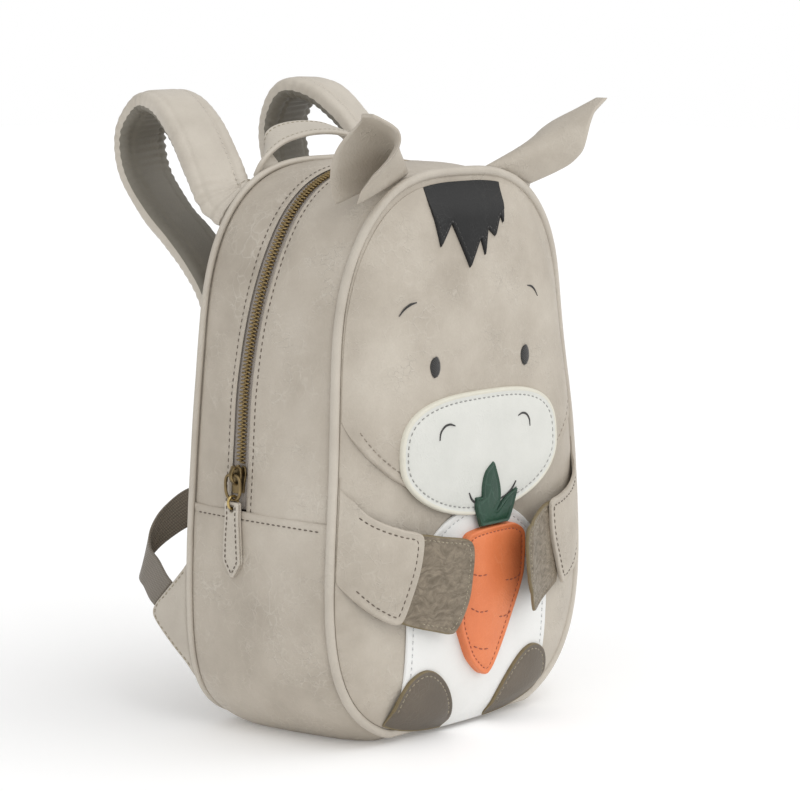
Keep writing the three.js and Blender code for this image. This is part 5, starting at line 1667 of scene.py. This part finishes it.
def make_strap(name):
    """A padded strap whose section is built round its route, with sewn lines and gathers inside the bend."""
    side = STRAP_LOOPS[name]["side"]
    rows = np.array(STRAP_ROWS, float)
    route = np.array([strap_place(name, *row[:3]) for row in STRAP_ROWS])
    steps = 300
    shares = np.linspace(0, 1, steps)
    knots = np.linspace(0, 1, len(rows))
    centre = catmull(route, shares)
    ahead = unit(np.gradient(centre, axis=0))
    first = smooth(shares / 0.06)[:, None]
    ahead = unit(ahead * first + BACKWARDS * (1 - first))
    slant = np.interp(shares, knots, rows[:, 3])
    angle = slant * STRAP_ROOT["slant"]
    wide = np.stack([np.cos(angle), np.zeros(steps), -side * np.sin(angle)], -1)
    wide = unit(wide - ahead * (wide * ahead).sum(1, keepdims=True))
    deep = unit(np.cross(ahead, wide))
    width = STRAP["width"] + (STRAP_ROOT["width"] - STRAP["width"]) * slant
    thick = STRAP["thick"] * np.interp(shares, knots, rows[:, 4])
    along = arc_lengths(centre)
    bend = np.linalg.norm(np.gradient(ahead, axis=0), axis=1) / np.maximum(np.gradient(along), 1e-6)
    bend = np.convolve(np.pad(bend, 6, "edge"), np.ones(13) / 13, "valid")
    turn_way = np.sign((np.gradient(ahead, axis=0) * deep).sum(1))
    sides = 92
    fine = np.linspace(0, 2 * np.pi, 4001)
    around = np.stack([
        STRAP["width"] / 2 * signed_power(np.cos(fine), 0.5),
        STRAP["thick"] / 2 * signed_power(np.sin(fine), 0.62),
    ], -1)
    lengths = arc_lengths(around)
    turn = np.interp(np.arange(sides) / sides * lengths[-1], lengths, fine)
    a, b = np.cos(turn), np.sin(turn)
    across = (width / 2)[:, None] * signed_power(a, 0.5)[None]
    height = (thick / 2)[:, None] * signed_power(b, 0.62)[None]
    # The sewn line lies in a groove on the outer face, with the edge roll beside it
    outer = np.sign(b)[None]
    face = np.abs(b)[None] ** 0.5
    line = 0.9 * bell(across, -side * width[:, None] * 0.27, 1.3)
    fold = 0.7 * bell(across, side * width[:, None] * 0.33, 1.6)
    height = height - outer * face * (line + fold)
    inner = np.clip(outer * turn_way[:, None], 0, 1)
    gather = 0.5 + 0.5 * np.cos(along[:, None] / 5.4 * 2 * np.pi + 1.5 * np.sin(across / 9))
    squeeze = np.clip(bend[:, None] * 26, 0, 1)
    height = height - outer * inner * squeeze * gather * 0.9 * face
    edge_pucker = bell(np.abs(across), width[:, None] / 2, 5)
    pleat = 0.5 + 0.5 * np.cos(along[:, None] / 5.6 * 2 * np.pi)
    inwards = turn_way[:, None] * b[None]
    height = height - outer * (0.2 + 1.1 * squeeze * (inwards > -0.4)) * edge_pucker * pleat * face
    across = across * (1 - 0.07 * squeeze * pleat * np.clip(inwards + 0.8, 0, 1))
    rings = centre[:, None] + wide[:, None] * across[..., None] + deep[:, None] * height[..., None]
    soft = ripple(rings, 20, 0.35, 40 + side)
    rings = rings + deep[:, None] * (soft * np.sign(b)[None])[..., None]
    piece = tube(f"strap_pad_{name}", rings, "strap", [f"strap_{name}"], looks=["strap_shade_side"],
                 slot="taupe_leather")
    # The side that turns in towards the back gets the darker copy of the strap leather: painted shade
    centre_of = rings.mean(1)
    inward = -deep if (deep[200] * (centre_of[200] - np.array([0, 0, centre_of[200][2]]))).sum() > 0 else deep
    flip = 1 if (inward[200] * deep[200]).sum() > 0 else -1
    marks = []
    for poly in piece.data.polygons:
        ring_side = [flip * b[v % sides] for v in poly.vertices]
        marks.append(int(len(poly.vertices) == 4 and min(ring_side) > 0.12))
    piece.data.polygons.foreach_set("material_index", marks)
    way = -turn_way[int(np.argmax(bend[20:-20])) + 20]
    line_at = centre - side * wide * (width * 0.27)[:, None]
    line_at = line_at + deep * (way * (thick / 2 * 0.97 - 0.85))[:, None]
    lines = [(line_at[14:-8], deep[14:-8] * way)]
    stitches(f"strap_stitches_{name}", lines, "pale_thread", 2.6, 1.2)
    return route[-1]


def make_webbing(name, strap_end):
    """The slide under a strap's end, the loop of webbing through it and the lower strap."""
    side = STRAP_LOOPS[name]["side"]
    top = strap_end + np.array([0, 0, -GAP - ADJUSTER["height"] / 2])
    wide, high, deep = ADJUSTER["width"] / 2, ADJUSTER["height"] / 2, ADJUSTER["thick"] / 2
    # A three-bar slide: an outer frame and a bar across its middle
    x, z = wide - 1.6, high - 1.6
    corners = round_corners(np.array([(-x, -z), (x, -z), (x, z), (-x, z)]), 2.2, 6)
    path = top + np.stack([corners[:, 0], np.zeros(len(corners)), corners[:, 1]], -1)
    out = np.cross(ahead_on_loop(path), BACKWARDS)
    turn = full_turn(12, 0.5)
    flat, up = signed_power(np.cos(turn), 0.6), signed_power(np.sin(turn), 0.6)
    ring = section(out, BACKWARDS[None], 1.5 * flat, deep * 0.8 * up)
    tube(f"slide_frame_{name}", path[:, None] + ring, "adjuster", [f"adjuster_{name}"], True,
         slot="adjuster_plastic")
    bar = top + np.stack([np.linspace(-wide + 2, wide - 2, 12), np.zeros(12), np.zeros(12)], -1)
    ring = section(UPWARDS[None], BACKWARDS[None], 1.4 * flat, deep * 0.75 * up)
    tube(f"slide_bar_{name}", bar[:, None] + ring, "adjuster", slot="adjuster_plastic")
    loop_path = top + catmull(np.array([
        (0, deep * 0.9, high + 5), (0, deep + 0.7, high), (0, deep + 0.9, 3), (0, 1.7 + deep * 0.4, 0),
        (0, deep + 0.9, -3), (0, deep + 0.7, -high), (0, deep * 0.6, -high - 3),
    ]), np.linspace(0, 1, 40))
    across = np.linspace(-0.5, 0.5, 23)
    grid = loop_path[:, None] + SIDEWAYS * (across * WEBBING["width"])[None, :, None]
    sheet(f"slide_loop_{name}", grid, 1.3, "webbing", slot="webbing", marks=woven_marks(grid))

    start = top + np.array([0, 0, -high - 2 * GAP])
    route = start + np.array([(side * r[0], r[1], r[2]) for r in WEBBING_ROWS])
    widths = np.array([r[3] for r in WEBBING_ROWS], float)
    steps = 150
    shares = np.linspace(0, 1, steps)
    path = catmull(route, shares)
    wide = unit(catmull(widths, shares))
    across = np.linspace(-0.5, 0.5, 89)
    grid = path[:, None] + wide[:, None] * (across * WEBBING["width"])[None, :, None]
    ribs = 0.14 * np.cos(across * WEBBING["ribs"] * 2 * np.pi)
    sheet(
        f"webbing_strap_{name}", grid, WEBBING["thick"] - 0.2, "webbing", [f"webbing_{name}"],
        np.tile(ribs, (steps, 1)), slot="webbing", marks=woven_marks(grid),
    )


def woven_marks(grid):
    along = arc_lengths(grid[:, grid.shape[1] // 2])
    across = arc_lengths(grid[0])
    return {
        "along": np.tile(np.repeat(along, len(across)), 2),
        "across": np.tile(np.tile(across, len(along)), 2),
    }


def make_wing(name, side):
    """The folded leather tab in the back seam that the webbing is sewn into."""
    def edge(z):
        share = min(max((WIDEST_AT - z) / WIDEST_AT, 0), 1)
        low = math.pi - math.acos(share ** (LOW_BACK_SQUARENESS / 2))
        return float(outline_point(low, 1)[0])

    shares = np.linspace(0, 1, 50)
    rows = np.array(WING_ROWS)
    outs = np.interp(shares, rows[:, 0], rows[:, 1])
    outs = np.convolve(np.pad(outs, 2, "edge"), np.ones(5) / 5, "valid")
    outer_x = edge(WING["tip_z"])
    root = DEPTH / 2 + BACK_PIPING_RADIUS + 2 * GAP
    grid = []
    for up, out in zip(shares, outs):
        z = WING["bottom"] + (WING["top"] - WING["bottom"]) * up
        share = np.linspace(0, 1, 22) * max(out, 0.03)
        x = (edge(z) - WING["thick"] / 2) * (1 - share) + outer_x * share
        grid.append(np.stack([side * x, root + share * WING["reach"], np.full(22, z)], -1))
    grid = np.array(grid)
    stitch_in = 2.8
    groove = -0.4 * bell(edge_reach(grid, (1, 1, 0, 1)), stitch_in, 0.7)
    _, normals = sheet(f"side_tab_{name}", grid, WING["thick"], "strap", [f"wing_{name}"], groove,
                       slot="taupe_leather")
    out = normals * np.sign(side * normals[..., :1])
    path, normal = [], []
    for i in range(3, 47):
        far = np.linalg.norm(grid[i] - grid[i, -1], axis=1)
        column = int(np.argmin(np.abs(far - stitch_in)))
        if grid[i, column, 1] > root + 2:
            path.append(grid[i, column] + out[i, column] * (WING["thick"] / 2 - 0.25))
            normal.append(out[i, column])
    stitches(f"side_tab_stitches_{name}", [(path, normal)], "sand_thread", 2.4, 1.3)


def make_stage():
    """A white floor and surroundings, two soft suns and the camera."""
    scene = bpy.context.scene
    mesh = bpy.data.meshes.new("floor")
    corners = [(x * FLOOR_HALF, y * FLOOR_HALF, 0) for x, y in ((-1, -1), (1, -1), (1, 1), (-1, 1))]
    mesh.from_pydata(corners, [], [(0, 1, 2, 3)])
    s = Shader("studio_floor")
    mesh.materials.append(s.finish(
        s.mix(s.noise(3, 2), (0.94, 0.94, 0.94), (0.96, 0.96, 0.96)), 0.75, None,
        Emission_Color=(1, 1, 1, 1), Emission_Strength=0.1,
    ))
    floor = bpy.data.objects.new("studio_floor", mesh)
    scene.collection.objects.link(floor)
    world = bpy.data.worlds.new("studio")
    scene.world = world
    world.use_nodes = True
    nodes, links = world.node_tree.nodes, world.node_tree.links
    nodes["Background"].inputs["Color"].default_value = (1, 1, 1, 1)
    light_path = nodes.new("ShaderNodeLightPath")
    brightness = nodes.new("ShaderNodeMapRange")
    brightness.inputs["To Min"].default_value = WORLD_LEVEL
    brightness.inputs["To Max"].default_value = 1.0
    links.new(light_path.outputs["Is Camera Ray"], brightness.inputs["Value"])
    links.new(brightness.outputs[0], nodes["Background"].inputs["Strength"])
    for name, place, spread, power in LIGHTS:
        light = bpy.data.lights.new(name, "SUN")
        light.angle = math.radians(spread)
        light.energy = power
        lamp = bpy.data.objects.new(name, light)
        lamp.location = place
        lamp.rotation_euler = (-Vector(place)).to_track_quat("-Z", "Y").to_euler()
        scene.collection.objects.link(lamp)
    camera_data = bpy.data.cameras.new("camera")
    camera_data.lens = CAMERA["lens"]
    camera_data.sensor_width = CAMERA["sensor"]
    camera_data.clip_end = FARTHEST
    camera = bpy.data.objects.new("camera", camera_data)
    camera.location = CAMERA["at"]
    aim = Vector(CAMERA["aim"]) - camera.location
    camera.rotation_euler = aim.to_track_quat("-Z", "Y").to_euler()
    scene.collection.objects.link(camera)
    scene.camera = camera
    scene.view_settings.view_transform = "Standard"
    scene.view_settings.look = "None"


make_stage()
make_shell()
make_front()
make_upper_band()
make_lower_band()
make_piping()
make_back()
make_zip()
make_handle()
for ear_name in EARS:
    make_ear(ear_name)
for strap_name in STRAP_LOOPS:
    make_webbing(strap_name, make_strap(strap_name))
    make_wing(strap_name, STRAP_LOOPS[strap_name]["side"])
